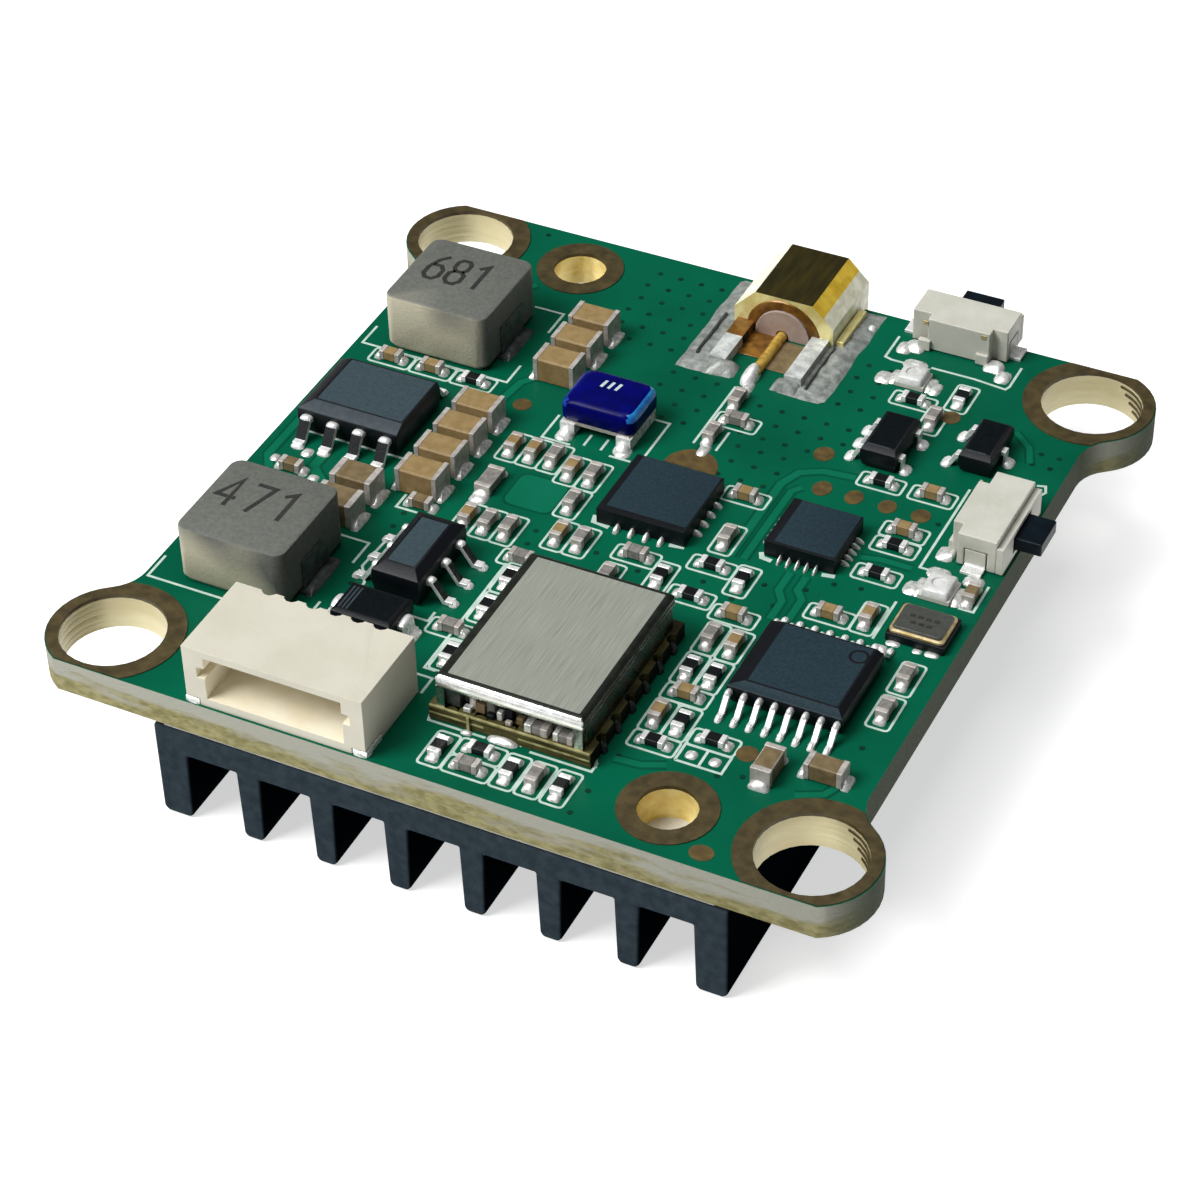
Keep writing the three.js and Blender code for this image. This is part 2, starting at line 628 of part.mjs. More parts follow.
function makeChips() {
  makeLeadedChip('step_down_converter', {
    x: -12.6, y: 1.35, width: 4.9, depth: 3.9, height: 1.5, span: 6.0, leadWidth: 0.42,
    leads: leadRow(4, 1.27), turn: false,
  });
  makeLeadedChip('flat_pack_chip', {
    x: -5.75, y: -6.85, width: 4.15, depth: 2.2, height: 1.6, span: 4.5, leadWidth: 0.36,
    leads: leadRow(3, 1.27), turn: true,
  });
  makeLeadedChip('catch_diode', {
    x: -5.93, y: -10.54, width: 2.0, depth: 2.75, height: 1.1, span: 3.7, leadWidth: 0.7,
    leads: [[0, -1], [0, 1]], turn: true,
  });
  makeLeadedChip('microcontroller', {
    x: 11.3, y: -6.72, width: 4.9, depth: 4.3, height: 1.1, span: 6.5, leadWidth: 0.24,
    leads: leadRow(8, 0.65), turn: false,
  });
  makeLeadedChip('small_regulator', {
    x: 8.63, y: 8.5, width: 2.9, depth: 1.65, height: 1.1, span: 2.9, leadWidth: 0.4,
    leads: [...leadRow(3, 0.95, [-1]), ...leadRow(2, 1.9, [1])], turn: true,
  });
  makeLeadedChip('small_transistor', {
    x: 12.45, y: 9.8, width: 2.8, depth: 1.5, height: 1.05, span: 2.8, leadWidth: 0.42,
    leads: [...leadRow(2, 1.9, [-1]), [0, 1]], turn: true,
  });
  makeLeadlessChip('power_amplifier', 1.38, 1.05, 4.0, 0.8);
  makeLeadlessChip('modulator_chip', 8.1, 1.55, 3.1, 0.78);
}

// ---------------------------------------------------------------- radio module

function makeModule() {
  const { x0, x1, y0, y1 } = MODULE;
  let board = block(x0, x1, y0, y1, 0, MODULE_BOARD);
  const notch = 0.28;
  const pitch = 1.27;
  for (let i = 0; i < 5; i += 1) {
    const x = (x0 + x1) / 2 + (i - 2) * pitch;
    board = cut(board, plate(circle(x, y0, notch, 8), -1, 2), plate(circle(x, y1, notch, 8), -1, 2));
  }
  for (let i = 0; i < 6; i += 1) {
    const y = (y0 + y1) / 2 + (i - 2.5) * pitch;
    board = cut(board, plate(circle(x0, y, notch, 8), -1, 2), plate(circle(x1, y, notch, 8), -1, 2));
  }
  add('module_board', board, CERAMIC);

  const s = SHIELD;
  const w = SHIELD_WALL;
  const outer = plate(roundRectangle(s.x0, s.x1, s.y0, s.y1, 0.35), MODULE_BOARD, SHIELD_TOP);
  const inner = block(s.x0 + w, s.x1 - w, s.y0 + w, s.y1 - w, 0, SHIELD_TOP - w);
  const window = (ya, yb) => barAlongY([
    [s.x0 + 0.45, MODULE_BOARD - 1], [s.x1 - 0.45, MODULE_BOARD - 1],
    [s.x1 - 0.45, 1.45], [s.x1 - 0.7, 1.7], [s.x0 + 0.7, 1.7], [s.x0 + 0.45, 1.45],
  ], ya, yb);
  add('module_shield',
    cut(outer, inner, window(s.y0 - 1, s.y0 + 0.3), window(s.y1 - 0.3, s.y1 + 1)), SHIELD_METAL);

  add('module_chip', slab((x0 + x1) / 2, (y0 + y1) / 2 + 0.8, 4.0, 4.0, MODULE_BOARD, 1.6), CHIP);
}

// ---------------------------------------------------------------- other parts

// A blue moulded radio filter on two tinned feet.
function makeBlueFilter() {
  const x0 = -4.82;
  const x1 = -1.32;
  const y0 = 4.2;
  const y1 = 6.6;
  const body = plate(roundRectangle(x0, x1, y0, y1, 0.45), 0.62, 1.66);
  const base = block(x0 + 0.25, x1 - 0.25, y0 + 0.2, y1 - 0.2, 0.1, 0.7);
  const feet = [x0 + 0.5, x1 - 0.5].map((x) => slab(x, (y0 + y1) / 2 - 0.1, 0.7, 3.0, 0, 0.35));
  add('blue_filter', join(body, base, ...feet), BLUE);
}

function makeCrystal() {
  add('crystal_base', block(13.05, 15.55, -2.85, -0.85, 0, 0.4), BLACK_PLASTIC);
  add('crystal_lid', plate(roundRectangle(13.13, 15.47, -2.77, -0.93, 0.25), 0.4, 0.66), LID);
}

// A light: a milky lens across the middle of a flat base.
function makeLed(name, x, y, width, depth) {
  add(name, join(
    slab(x, y, width, depth, 0, 0.25),
    slab(x, y, width - 0.4, depth, 0.2, LED_HEIGHT),
  ), LENS);
}

function makeCapacitors(prefix, column) {
  const { length, width, height, end } = CAPACITOR;
  const lip = 0.03;
  for (let i = 0; i < column.count; i += 1) {
    const y = column.y + i * column.pitch;
    const middle = slab(column.x, y, length - 0.2, width - 2 * lip, lip, height - lip);
    const ends = [-1, 1].map((side) => slab(
      column.x + (side * (length - end)) / 2, y, end, width, 0, height,
    ));
    add(`${prefix}_${i + 1}`, join(middle, ...ends), CERAMIC);
  }
}

// ---------------------------------------------------------------- build

makeBoard();
for (const [name, x, y] of mountingHoles) {
  makePlating(name, x, y, HOLE_RADIUS, RING_RADIUS, UNDERSIDE_RING_RADIUS, 32);
}
for (const [name, x, y] of smallHoles) {
  makePlating(name, x, y, SMALL_HOLE_RADIUS, SMALL_RING_RADIUS, 0, 24);
}
makeTape();
makeHeatSink();
makeConnectorHousing();
makeContacts();
makeAnchors();
makeCoaxShell();
makeCoaxInsulator();
makeCoaxContact();
makeSwitch('rear_switch', REAR_SWITCH);
makeSwitch('right_switch', RIGHT_SWITCH);
makeInductor('inductor_front', FRONT_INDUCTOR);
makeInductor('inductor_rear', REAR_INDUCTOR);
makeChips();
makeModule();
makeBlueFilter();
makeCrystal();
makeLed('led_rear', 7.65, 13.55, 1.6, 1.2);
makeLed('led_right', 13.95, 0.75, 1.6, 1.4);
makeCapacitors('capacitor_middle', MIDDLE_COLUMN);
makeCapacitors('capacitor_rear', REAR_COLUMN);

export default assembly;
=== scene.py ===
"""The looks of a small radio transmitter board that stands on a finned heat sink.

Lengths are in millimetres about the centre of the four mounting holes, with the top face of the
board at z = 0, +x to the right along the front edge and +y towards the rear edge. Each piece is
turned into the CAD's metres as it is made.
"""

import math

import bmesh
import bpy
from mathutils import Matrix, Quaternion, Vector, noise


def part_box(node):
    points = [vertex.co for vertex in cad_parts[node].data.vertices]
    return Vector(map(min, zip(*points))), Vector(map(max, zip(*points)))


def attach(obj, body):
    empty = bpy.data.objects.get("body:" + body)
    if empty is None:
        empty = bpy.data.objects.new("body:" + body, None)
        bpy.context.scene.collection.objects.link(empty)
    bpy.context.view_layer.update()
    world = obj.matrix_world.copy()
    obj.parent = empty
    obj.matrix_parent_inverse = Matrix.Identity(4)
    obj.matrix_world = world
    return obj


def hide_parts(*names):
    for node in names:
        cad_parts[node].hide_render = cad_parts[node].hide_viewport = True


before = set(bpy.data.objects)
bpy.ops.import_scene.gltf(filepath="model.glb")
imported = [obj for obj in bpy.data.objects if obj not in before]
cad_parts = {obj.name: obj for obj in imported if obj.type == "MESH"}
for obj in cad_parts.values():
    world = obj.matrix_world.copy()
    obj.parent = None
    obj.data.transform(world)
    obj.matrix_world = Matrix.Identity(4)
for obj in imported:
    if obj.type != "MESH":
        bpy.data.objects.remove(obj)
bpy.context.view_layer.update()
scene = bpy.context.scene

# ------------------------------------------------------------------ the frame in millimetres

MM = 0.001
board_low, board_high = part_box("circuit_board")
hole_centre = Vector(((board_low.x + board_high.x) / 2, (board_low.y + board_high.y) / 2, board_high.z))
to_frame = Matrix.Translation(hole_centre) @ Matrix.Scale(MM, 4)
to_plan = to_frame.inverted()


def span(node):
    """The corners of a CAD node, in millimetres: x0, x1, y0, y1, z0, z1."""
    low, high = (to_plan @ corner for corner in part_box(node))
    return low.x, high.x, low.y, high.y, low.z, high.z


def middle(node):
    x0, x1, y0, y1, _, _ = span(node)
    return (x0 + x1) / 2, (y0 + y1) / 2


# ------------------------------------------------------------------ materials

# The lights make white paper over-bright, so that the floor stays white; colours are dimmed to suit.
DIM = 0.66


def rgb(code, dim=DIM):
    """A web colour as the linear values that Blender uses."""
    channels = [int(code[i:i + 2], 16) / 255 for i in (1, 3, 5)]
    return [dim * (((c + 0.055) / 1.055) ** 2.4 if c > 0.04045 else c / 12.92) for c in channels] + [1.0]


class Finish:
    """A procedural material: two colours mixed by a noise.

    Sizes are in millimetres; stretch lengthens a pattern along x, y or z.
    """

    def __init__(self, name, color, other, size, roughness, metallic=0.0, coat=0.0, specular=0.5,
                 dim=DIM, stretch=(1, 1, 1)):
        self.material = bpy.data.materials.new(name)
        self.material.use_nodes = True
        self.nodes = self.material.node_tree.nodes
        self.links = self.material.node_tree.links
        self.shader = self.nodes["Principled BSDF"]
        self.dim = dim
        self.shader.inputs["Base Color"].default_value = rgb(color, dim)
        self.shader.inputs["Roughness"].default_value = roughness
        self.shader.inputs["Metallic"].default_value = metallic
        self.shader.inputs["Coat Weight"].default_value = coat
        self.shader.inputs["Specular IOR Level"].default_value = specular
        self.tint(other, self.pattern(size, stretch))

    def spread(self, value, low, high, to_low=0.0, to_high=1.0):
        """Carries the range from low to high over to another range."""
        node = self.nodes.new("ShaderNodeMapRange")
        ends = {"From Min": low, "From Max": high, "To Min": to_low, "To Max": to_high}
        for socket, end in ends.items():
            node.inputs[socket].default_value = end
        self.links.new(value, node.inputs["Value"])
        return node.outputs["Result"]

    def pattern(self, size, stretch=(1, 1, 1), low=0.35, high=0.65, detail=4.0):
        """A noise whose range from low to high becomes 0 to 1."""
        place = self.nodes.new("ShaderNodeTexCoord")
        mapping = self.nodes.new("ShaderNodeMapping")
        mapping.inputs["Scale"].default_value = [1 / (size * MM * s) for s in stretch]
        texture = self.nodes.new("ShaderNodeTexNoise")
        texture.inputs["Scale"].default_value = 1.0
        texture.inputs["Detail"].default_value = detail
        self.links.new(place.outputs["Object"], mapping.inputs["Vector"])
        self.links.new(mapping.outputs["Vector"], texture.inputs["Vector"])
        return self.spread(texture.outputs["Fac"], low, high)

    def tint(self, other, value):
        """Passes to another colour as a value rises from 0 to 1."""
        base = self.shader.inputs["Base Color"]
        mix = self.nodes.new("ShaderNodeMix")
        mix.data_type = "RGBA"
        mix.inputs[6].default_value = base.default_value
        mix.inputs[7].default_value = rgb(other, self.dim)
        self.links.new(value, mix.inputs[0])
        if base.is_linked:
            self.links.new(base.links[0].from_socket, mix.inputs[6])
        self.links.new(mix.outputs[2], base)
        return self

    def part(self, node, output, axis):
        """One of X, Y and Z of a vector that a new node gives."""
        parts = self.nodes.new("ShaderNodeSeparateXYZ")
        self.links.new(self.nodes.new(node).outputs[output], parts.inputs["Vector"])
        return parts.outputs[axis]

    def combine(self, operation, *values):
        node = self.nodes.new("ShaderNodeMath")
        node.operation = operation
        for socket, value in zip(node.inputs, values):
            if isinstance(value, float):
                socket.default_value = value
            else:
                self.links.new(value, socket)
        return node.outputs["Value"]

    def paint_shade_on_right_faces(self, other):
        # Painted shade: the faces that look to the right, away from the key lamp, pass to a darker colour.
        normal = self.part("ShaderNodeNewGeometry", "Normal", "X")
        return self.tint(other, self.spread(normal, 0.45, 0.98))

    def change_level(self, other, low, high, sway=0.8):
        """Passes to another colour between two heights, along a line that sways."""
        height = self.part("ShaderNodeTexCoord", "Object", "Z")
        wave = self.combine("MULTIPLY_ADD", self.pattern(1.1, (3, 3, 0.5)), sway * MM, height)
        ends = (hole_centre.z + MM * (z + sway / 2) for z in (low, high))
        return self.tint(other, self.spread(wave, *ends))

    def paint_front_highlight(self, other, size):
        """Patches of painted highlight, in another colour, on the faces that look to the front."""
        normal = self.part("ShaderNodeNewGeometry", "Normal", "Y")
        cloud = self.combine("MULTIPLY", normal, self.pattern(size, (1, 1, 1), 0.4, 0.56, 0.6))
        return self.tint(other, self.spread(cloud, -0.1, -0.95))

    def polish(self, smooth, rough, size):
        gloss = self.spread(self.pattern(size), 0.0, 1.0, smooth, rough)
        self.links.new(gloss, self.shader.inputs["Roughness"])
        return self

    def relief(self, depth, size, stretch=(1, 1, 1), detail=4.0):
        bump = self.nodes.new("ShaderNodeBump")
        bump.inputs["Distance"].default_value = depth * MM
        self.links.new(self.pattern(size, stretch, 0.2, 0.8, detail), bump.inputs["Height"])
        self.links.new(bump.outputs["Normal"], self.shader.inputs["Normal"])
        return self


MASK = Finish("solder_mask", "#03694b", "#025d42", 5.0, 0.35, specular=0.06).relief(0.004, 0.5)
MASK_COPPER = Finish("mask_over_copper", "#0b7658", "#07704f", 3.0, 0.35, specular=0.08)
MASK_COPPER.relief(0.004, 0.5)
MASK_GAP = Finish("mask_over_gap", "#025a41", "#024f39", 3.0, 0.4, specular=0.06).relief(0.003, 0.5)
VIA = Finish("via_hole", "#003024", "#01432f", 0.4, 0.5, specular=0.1)
LAMINATE = Finish("laminate_edge", "#8f885c", "#b3ac7d", 0.22, 0.7, specular=0.05, stretch=(2, 2, 1))
LAMINATE.change_level("#b9b9ab", -1.0, -0.55)
# The darker colour on the edge's right-facing faces is painted shade.
LAMINATE.paint_shade_on_right_faces("#5a6152").relief(0.03, 0.12, (3, 3, 0.5))
SILK = Finish("white_ink", "#dcefe4", "#c3dccf", 0.5, 0.6, specular=0.1).relief(0.004, 0.1)
RING = Finish("plated_ring", "#645632", "#493d20", 0.6, 0.45, metallic=0.3).relief(0.008, 0.2)
BARREL = Finish("plated_wall", "#dfd5ab", "#d0c396", 1.0, 0.35, metallic=0.3, dim=0.9, stretch=(3, 3, 1))
BARREL.relief(0.03, 0.25, (60, 60, 1), 1.0)
SMALL_BARREL = Finish("gilt_wall", "#fdeca6", "#e6cd7c", 0.8, 0.3, metallic=0.3, dim=1.0)
SMALL_BARREL.relief(0.02, 0.25, (60, 60, 1), 1.0)
PAD = Finish("test_pad", "#75602f", "#574420", 0.5, 0.5, metallic=0.2).relief(0.01, 0.2)
TAPE = Finish("thermal_tape", "#e6e3da", "#d2cdc0", 1.0, 0.8).relief(0.02, 0.3)
ANODISED = Finish("anodised_slate", "#3c474e", "#303b42", 0.5, 0.5, specular=0.0, stretch=(1, 12, 1))
# The near-black on the heat sink's right-facing faces is painted shade.
ANODISED.paint_shade_on_right_faces("#04070a").polish(0.4, 0.6, 0.3).relief(0.012, 0.12, (1, 20, 1))
IVORY = Finish("ivory_nylon", "#eae5d3", "#e2ddca", 2.0, 0.5, specular=0.25).relief(0.006, 0.25)
# A lit copy of the ivory: painted light for the inside of the connector's mouth.
IVORY_LIT = Finish("ivory_lit", "#fbf4df", "#f2e8cc", 1.2, 0.5, specular=0.1, dim=0.82)
CREAM = Finish("cream_plastic", "#e4e3d6", "#d9d8ca", 1.2, 0.45, specular=0.25).relief(0.01, 0.3)
TIN = Finish("bright_tin", "#ffffff", "#e4e4e0", 0.3, 0.3, metallic=0.4, dim=0.92).polish(0.2, 0.4, 0.2)
# Shaded tin: painted shade on the slopes of some leads and on the module's edge joints.
SHADED_TIN = Finish("shaded_tin", "#4f5657", "#2c3132", 0.2, 0.4, metallic=0.7).relief(0.02, 0.15)
SOLDER = Finish("solder", "#efefeb", "#bfc0bc", 0.22, 0.3, metallic=0.45, dim=0.92).polish(0.18, 0.42, 0.15)
SOLDER.relief(0.01, 0.25)
DULL_SOLDER = Finish("dull_solder", "#b9bdb8", "#8b908b", 0.35, 0.45, metallic=0.25).relief(0.03, 0.25)
LEG = Finish("tinned_leg", "#e6e9e6", "#b4b9b5", 0.4, 0.4, metallic=0.15, dim=0.8).relief(0.02, 0.2)
TERMINAL = Finish("inductor_terminal", "#6f7674", "#4b514f", 0.4, 0.4, metallic=0.6).relief(0.02, 0.2)
# Dark, pale, yellow and grey gold are one metal with painted reflections, given mostly to the faces of the
# coaxial shell by the way they look.
GOLD = Finish("gold_dark", "#524816", "#3d3612", 0.25, 0.35, metallic=0.55, stretch=(1, 6, 1))
GOLD.relief(0.006, 0.1, (1, 10, 1))
GOLD_PALE = Finish("gold_pale", "#f5eaa8", "#e2cf80", 0.5, 0.28, metallic=0.3, dim=0.95)
GOLD_YELLOW = Finish("gold_yellow", "#fbd548", "#e0b52a", 0.5, 0.3, metallic=0.2, dim=1.0)
GOLD_AMBER = Finish("gold_amber", "#a8742a", "#6f4a1a", 0.4, 0.3, metallic=0.3)
GOLD_PIN = Finish("gold_pin", "#deb85a", "#a98432", 0.3, 0.25, metallic=0.3, dim=0.9)
GOLD_GREY = Finish("gold_grey", "#f5f2dc", "#d2cfb4", 0.5, 0.4, metallic=0.1, dim=1.0)
DIELECTRIC = Finish("beige_dielectric", "#cfb7ab", "#bfa496", 0.6, 0.5).relief(0.01, 0.3)
PLUNGER = Finish("black_plunger", "#07121a", "#0c1a23", 0.6, 0.35, specular=0.15).relief(0.008, 0.2)
POWDER = Finish("pressed_powder", "#787a73", "#6c6e68", 0.18, 0.5, specular=0.2).relief(0.012, 0.12)
# The pale patches on the powder's front faces are a painted highlight.
POWDER.paint_front_highlight("#d8d2b8", 4.5)
INK = Finish("dark_engraving", "#1a1a18", "#2b2a27", 0.2, 0.7).relief(0.01, 0.1)
MOULD = Finish("chip_mould", "#080c12", "#0c1118", 0.4, 0.42, specular=0.25).relief(0.006, 0.08)
SLATE_TOP = Finish("slate_top", "#46565d", "#3d4c53", 0.12, 0.6, specular=0.1).relief(0.008, 0.07)
DARK_TOP = Finish("dark_top", "#2d4049", "#253740", 0.12, 0.6, specular=0.1).relief(0.008, 0.07)
BLACK_TOP = Finish("black_top", "#040b0f", "#0b1418", 0.2, 0.45, specular=0.1).relief(0.008, 0.07)
# A lighter grey: a painted highlight on the front edges and front chamfers of chips, and the print of the
# diode's band.
MOULD_HIGHLIGHT_AND_MARK = Finish("chip_highlight_and_mark", "#434e55", "#384349", 0.3, 0.5, specular=0.2).relief(0.006, 0.08)
BLUE = Finish("blue_gloss", "#020455", "#030672", 0.8, 0.3, specular=0.08).relief(0.004, 0.4)
# Lighter blue and cyan: painted highlights on the filter's bevels.
BLUE_HIGHLIGHT = Finish("blue_highlight", "#1c45b0", "#10309a", 0.5, 0.3, specular=0.2)
CYAN_HIGHLIGHT = Finish("cyan_highlight", "#2ba8e8", "#1673d8", 0.5, 0.2, coat=0.4)
NICKEL_TOP = Finish("brushed_nickel", "#afb3a6", "#999d91", 0.05, 0.45, metallic=0.1, stretch=(1, 40, 1))
NICKEL_TOP.relief(0.002, 0.05, (1, 50, 1))
# A near-black: a painted dark reflection along the bends of the shield.
NICKEL_BEND_REFLECTION = Finish("shield_bend_reflection", "#1d201b", "#2b2e28", 0.4, 0.4, specular=0.2)
NICKEL = Finish("bright_nickel", "#ecece2", "#d6d6ca", 1.0, 0.25, metallic=1.0, dim=0.92)
# The grey on the shield's right-facing walls is painted shade.
NICKEL.polish(0.2, 0.3, 0.6).paint_shade_on_right_faces("#54564e")
OLIVE = Finish("olive_laminate", "#6a643c", "#3c381f", 0.25, 0.6, specular=0.1, stretch=(6, 6, 0.6))
# The near-black on the module board's right-facing faces is painted shade.
OLIVE.relief(0.02, 0.2).paint_shade_on_right_faces("#14140c")
OLIVE_EDGE = Finish("olive_edge", "#c9c28a", "#9b9460", 0.4, 0.5, specular=0.2)
TAN = Finish("tan_ceramic", "#ab9062", "#9a8053", 0.4, 0.5, specular=0.25).relief(0.01, 0.15)
BROWN = Finish("brown_ceramic", "#8d7a58", "#766443", 0.4, 0.5, specular=0.3).relief(0.01, 0.15)
GREY_PART = Finish("grey_ceramic", "#9b9791", "#7f7b76", 0.25, 0.5, specular=0.3).relief(0.01, 0.15)
CAP_END = Finish("capacitor_end", "#e2dbd4", "#c0b8b0", 0.3, 0.4, metallic=0.25).relief(0.01, 0.15)
BLACK_PART = Finish("black_resistor", "#07090c", "#101317", 0.2, 0.35, specular=0.3).relief(0.006, 0.1)
WHITE_LENS = Finish("milky_lens", "#e2e3e0", "#cbccc8", 0.4, 0.3, dim=0.8).relief(0.015, 0.25)
CAN_LID = Finish("crystal_lid", "#565852", "#4a4c46", 0.15, 0.4, metallic=0.1).relief(0.006, 0.1)
BRASS = Finish("brass_rim", "#efdcae", "#c4a96a", 0.3, 0.3, metallic=0.4)
FLOOR = Finish("pale_floor", "#ffffff", "#fdfdfc", 60.0, 0.8, specular=0.1, dim=0.6)
FLOOR.shader.inputs["Emission Color"].default_value = (1, 1, 1, 1)
FLOOR.shader.inputs["Emission Strength"].default_value = 0.6

# ------------------------------------------------------------------ making pieces


def piece(name, bm, finishes, stands_for=(), body="board", at=(0, 0), turn=0.0,
          soft=0.0, steps=2, crease=35):
    """A mesh in millimetres becomes a piece that rides on a body; soft rounds its edges."""
    mesh = bpy.data.meshes.new(name)
    bm.to_mesh(mesh)
    bm.free()
    mesh.transform(to_frame @ Matrix.Translation((*at, 0)) @ Matrix.Rotation(turn, 4, "Z"))
    for finish in finishes:
        mesh.materials.append(finish.material)
    mesh.shade_smooth()
    mesh.set_sharp_from_angle(angle=math.radians(crease))
    thing = bpy.data.objects.new(name, mesh)
    scene.collection.objects.link(thing)
    if soft:
        round_edges(thing, soft, steps)
    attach(thing, body)
    if stands_for:
        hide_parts(*stands_for)
    return thing


def round_edges(thing, radius, steps):
    bevel = thing.modifiers.new("round_edges", "BEVEL")
    bevel.width = radius * MM
    bevel.segments = steps
    bevel.limit_method = "ANGLE"
    bevel.angle_limit = math.radians(30)
    bevel.harden_normals = True


UP = (0, 0, 1)


def refined(node, finishes, soft, steps=2, choose=None, body="board", crease=35, cuts=()):
    """A copy of a CAD node with its flat faces made whole and its edges rounded.

    A cut is the normal of a plane and how far out it lies. It parts the faces that it meets, so
    that choose may give them two finishes.
    """
    bm = bmesh.new()
    bm.from_mesh(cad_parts[node].data)
    bmesh.ops.transform(bm, matrix=to_plan, verts=bm.verts)
    bmesh.ops.remove_doubles(bm, verts=bm.verts, dist=0.0005)
    bmesh.ops.dissolve_limit(bm, angle_limit=math.radians(1), verts=bm.verts, edges=bm.edges)
    for normal, out in cuts:
        everything = bm.verts[:] + bm.edges[:] + bm.faces[:]
        bmesh.ops.bisect_plane(bm, geom=everything, plane_co=Vector(normal) * out, plane_no=normal)
    bm.normal_update()
    for face in bm.faces:
        face.material_index = choose(face) if choose else 0
    look = node + "_look"
    return piece(look, bm, finishes, (node,), body, soft=soft, steps=steps, crease=crease)


def printed(name, bm, finish):
    """A thin layer on a flat face."""
    piece(name, bm, (finish,), crease=20)


def soldered(name, bm, finish):
    piece(name, bm, (finish,), crease=60)


def loft(bm, rings, finish=0, top_finish=None):
    """Joins rings of the same number of points, which run anticlockwise from below to above."""
    made = [[bm.verts.new(point) for point in ring] for ring in rings]
    count = len(made[0])
    for low, high in zip(made, made[1:]):
        for i in range(count):
            j = (i + 1) % count
            bm.faces.new((low[i], low[j], high[j], high[i])).material_index = finish
    bm.faces.new(list(reversed(made[0]))).material_index = finish
    bm.faces.new(made[-1]).material_index = finish if top_finish is None else top_finish
    return made


def pairs(numbers):
    return list(zip(numbers[::2], numbers[1::2]))


def level(outline, z):
    return [(x, y, z) for x, y in outline]


def prism(bm, points, z0, z1, finish=0):
    loft(bm, [level(points, z0), level(points, z1)], finish)


def corners(x0, x1, y0, y1):
    return (x0, y0), (x1, y0), (x1, y1), (x0, y1)


def box(bm, x0, x1, y0, y1, z0, z1, finish=0):
    prism(bm, corners(x0, x1, y0, y1), z0, z1, finish)


def round_rectangle(x0, x1, y0, y1, radius, steps=4):
    points = []
    for cx, cy, start in ((x1 - radius, y0 + radius, -90), (x1 - radius, y1 - radius, 0),
                          (x0 + radius, y1 - radius, 90), (x0 + radius, y0 + radius, 180)):
        for i in range(steps + 1):
            angle = math.radians(start + 90 * i / steps)
            points.append((cx + radius * math.cos(angle), cy + radius * math.sin(angle)))
    return points


def drawn_in(bounds, inset, z, radius, steps=3):
    """A rounded rectangle at a height, drawn in by as much on its four sides."""
    x0, x1, y0, y1 = bounds
    outline = round_rectangle(x0 + inset, x1 - inset, y0 + inset, y1 - inset, radius, steps)
    return level(outline, z)


def circle(x, y, rx, ry=None, count=20, start=0.0, sweep=360.0):
    steps = count if sweep >= 360 else count - 1
    angles = [math.radians(start + sweep * i / steps) for i in range(count)]
    return [(x + rx * math.cos(a), y + (ry or rx) * math.sin(a)) for a in angles]


def ribbon(bm, points, width, z0, z1, closed=False):
    """A flat line of one width along a path in plan."""
    path = [Vector(p) for p in points]
    last = len(path) - 1
    rims = []
    for i, point in enumerate(path):
        before = path[i - 1] if (closed or i > 0) else None
        after = path[(i + 1) % len(path)] if (closed or i < last) else None
        into = (point - before).normalized() if before else (after - point).normalized()
        out = (after - point).normalized() if after else into
        normal = Vector((-into.y, into.x))
        mitre = (normal + Vector((-out.y, out.x))).normalized()
        reach = mitre * (width / 2 / max(0.4, mitre.dot(normal)))
        left, right = point + reach, point - reach
        rim = (right, z0), (left, z0), (left, z1), (right, z1)
        rims.append([bm.verts.new((*p, z)) for p, z in rim])
    for a, b in zip(rims, rims[1:] + rims[:1] if closed else rims[1:]):
        for k in range(4):
            m = (k + 1) % 4
            bm.faces.new((a[k], a[m], b[m], b[k]))
    if not closed:
        bm.faces.new(list(reversed(rims[0])))
        bm.faces.new(rims[-1])


def blob(bm, x, y, width, depth, height, lean=(0, 0), finish=0, z=0.0, square=3.0, count=14):
    """A drop of solder: a rounded rectangle in plan, highest where it leans."""
    rings = []
    for scale in (1.0, 0.92, 0.72, 0.42, 0.15):
        ring = []
        for i in range(count):
            angle = 2 * math.pi * i / count
            c, s = math.cos(angle), math.sin(angle)
            reach = (abs(c) ** square + abs(s) ** square) ** (-1 / square)
            px = x + c * reach * scale * width / 2 + lean[0] * (1 - scale)
            py = y + s * reach * scale * depth / 2 + lean[1] * (1 - scale)
            ring.append((px, py, z + height * (1 - scale ** 2.2) ** 0.7))
        rings.append(ring)
    loft(bm, rings, finish)


def heap(bm, x0, x1, y0, y1, height, seed, step=0.22):
    """A wide, uneven spread of solder that falls to the board at its edges."""
    nx, ny = max(3, round((x1 - x0) / step)), max(3, round((y1 - y0) / step))
    grid = []
    for j in range(ny + 1):
        row = []
        for i in range(nx + 1):
            u, v = 2 * i / nx - 1, 2 * j / ny - 1
            x = (x0 + x1) / 2 + u * (x1 - x0) / 2
            y = (y0 + y1) / 2 + v * (y1 - y0) / 2
            shape = (1 - abs(u) ** 5) * (1 - abs(v) ** 7)
            wave = 0.75 + 0.7 * noise.noise((x * 1.3 + seed, y * 1.3, seed))
            edge = 0.0 if shape <= 0 else 1.0
            sway = 0.12 * noise.noise((y * 0.9, x * 0.9, seed + 5))
            row.append(bm.verts.new((x + sway, y + sway, edge * max(0.03, height * shape * wave))))
        grid.append(row)
    for j in range(ny):
        for i in range(nx):
            bm.faces.new((grid[j][i], grid[j][i + 1], grid[j + 1][i + 1], grid[j + 1][i]))


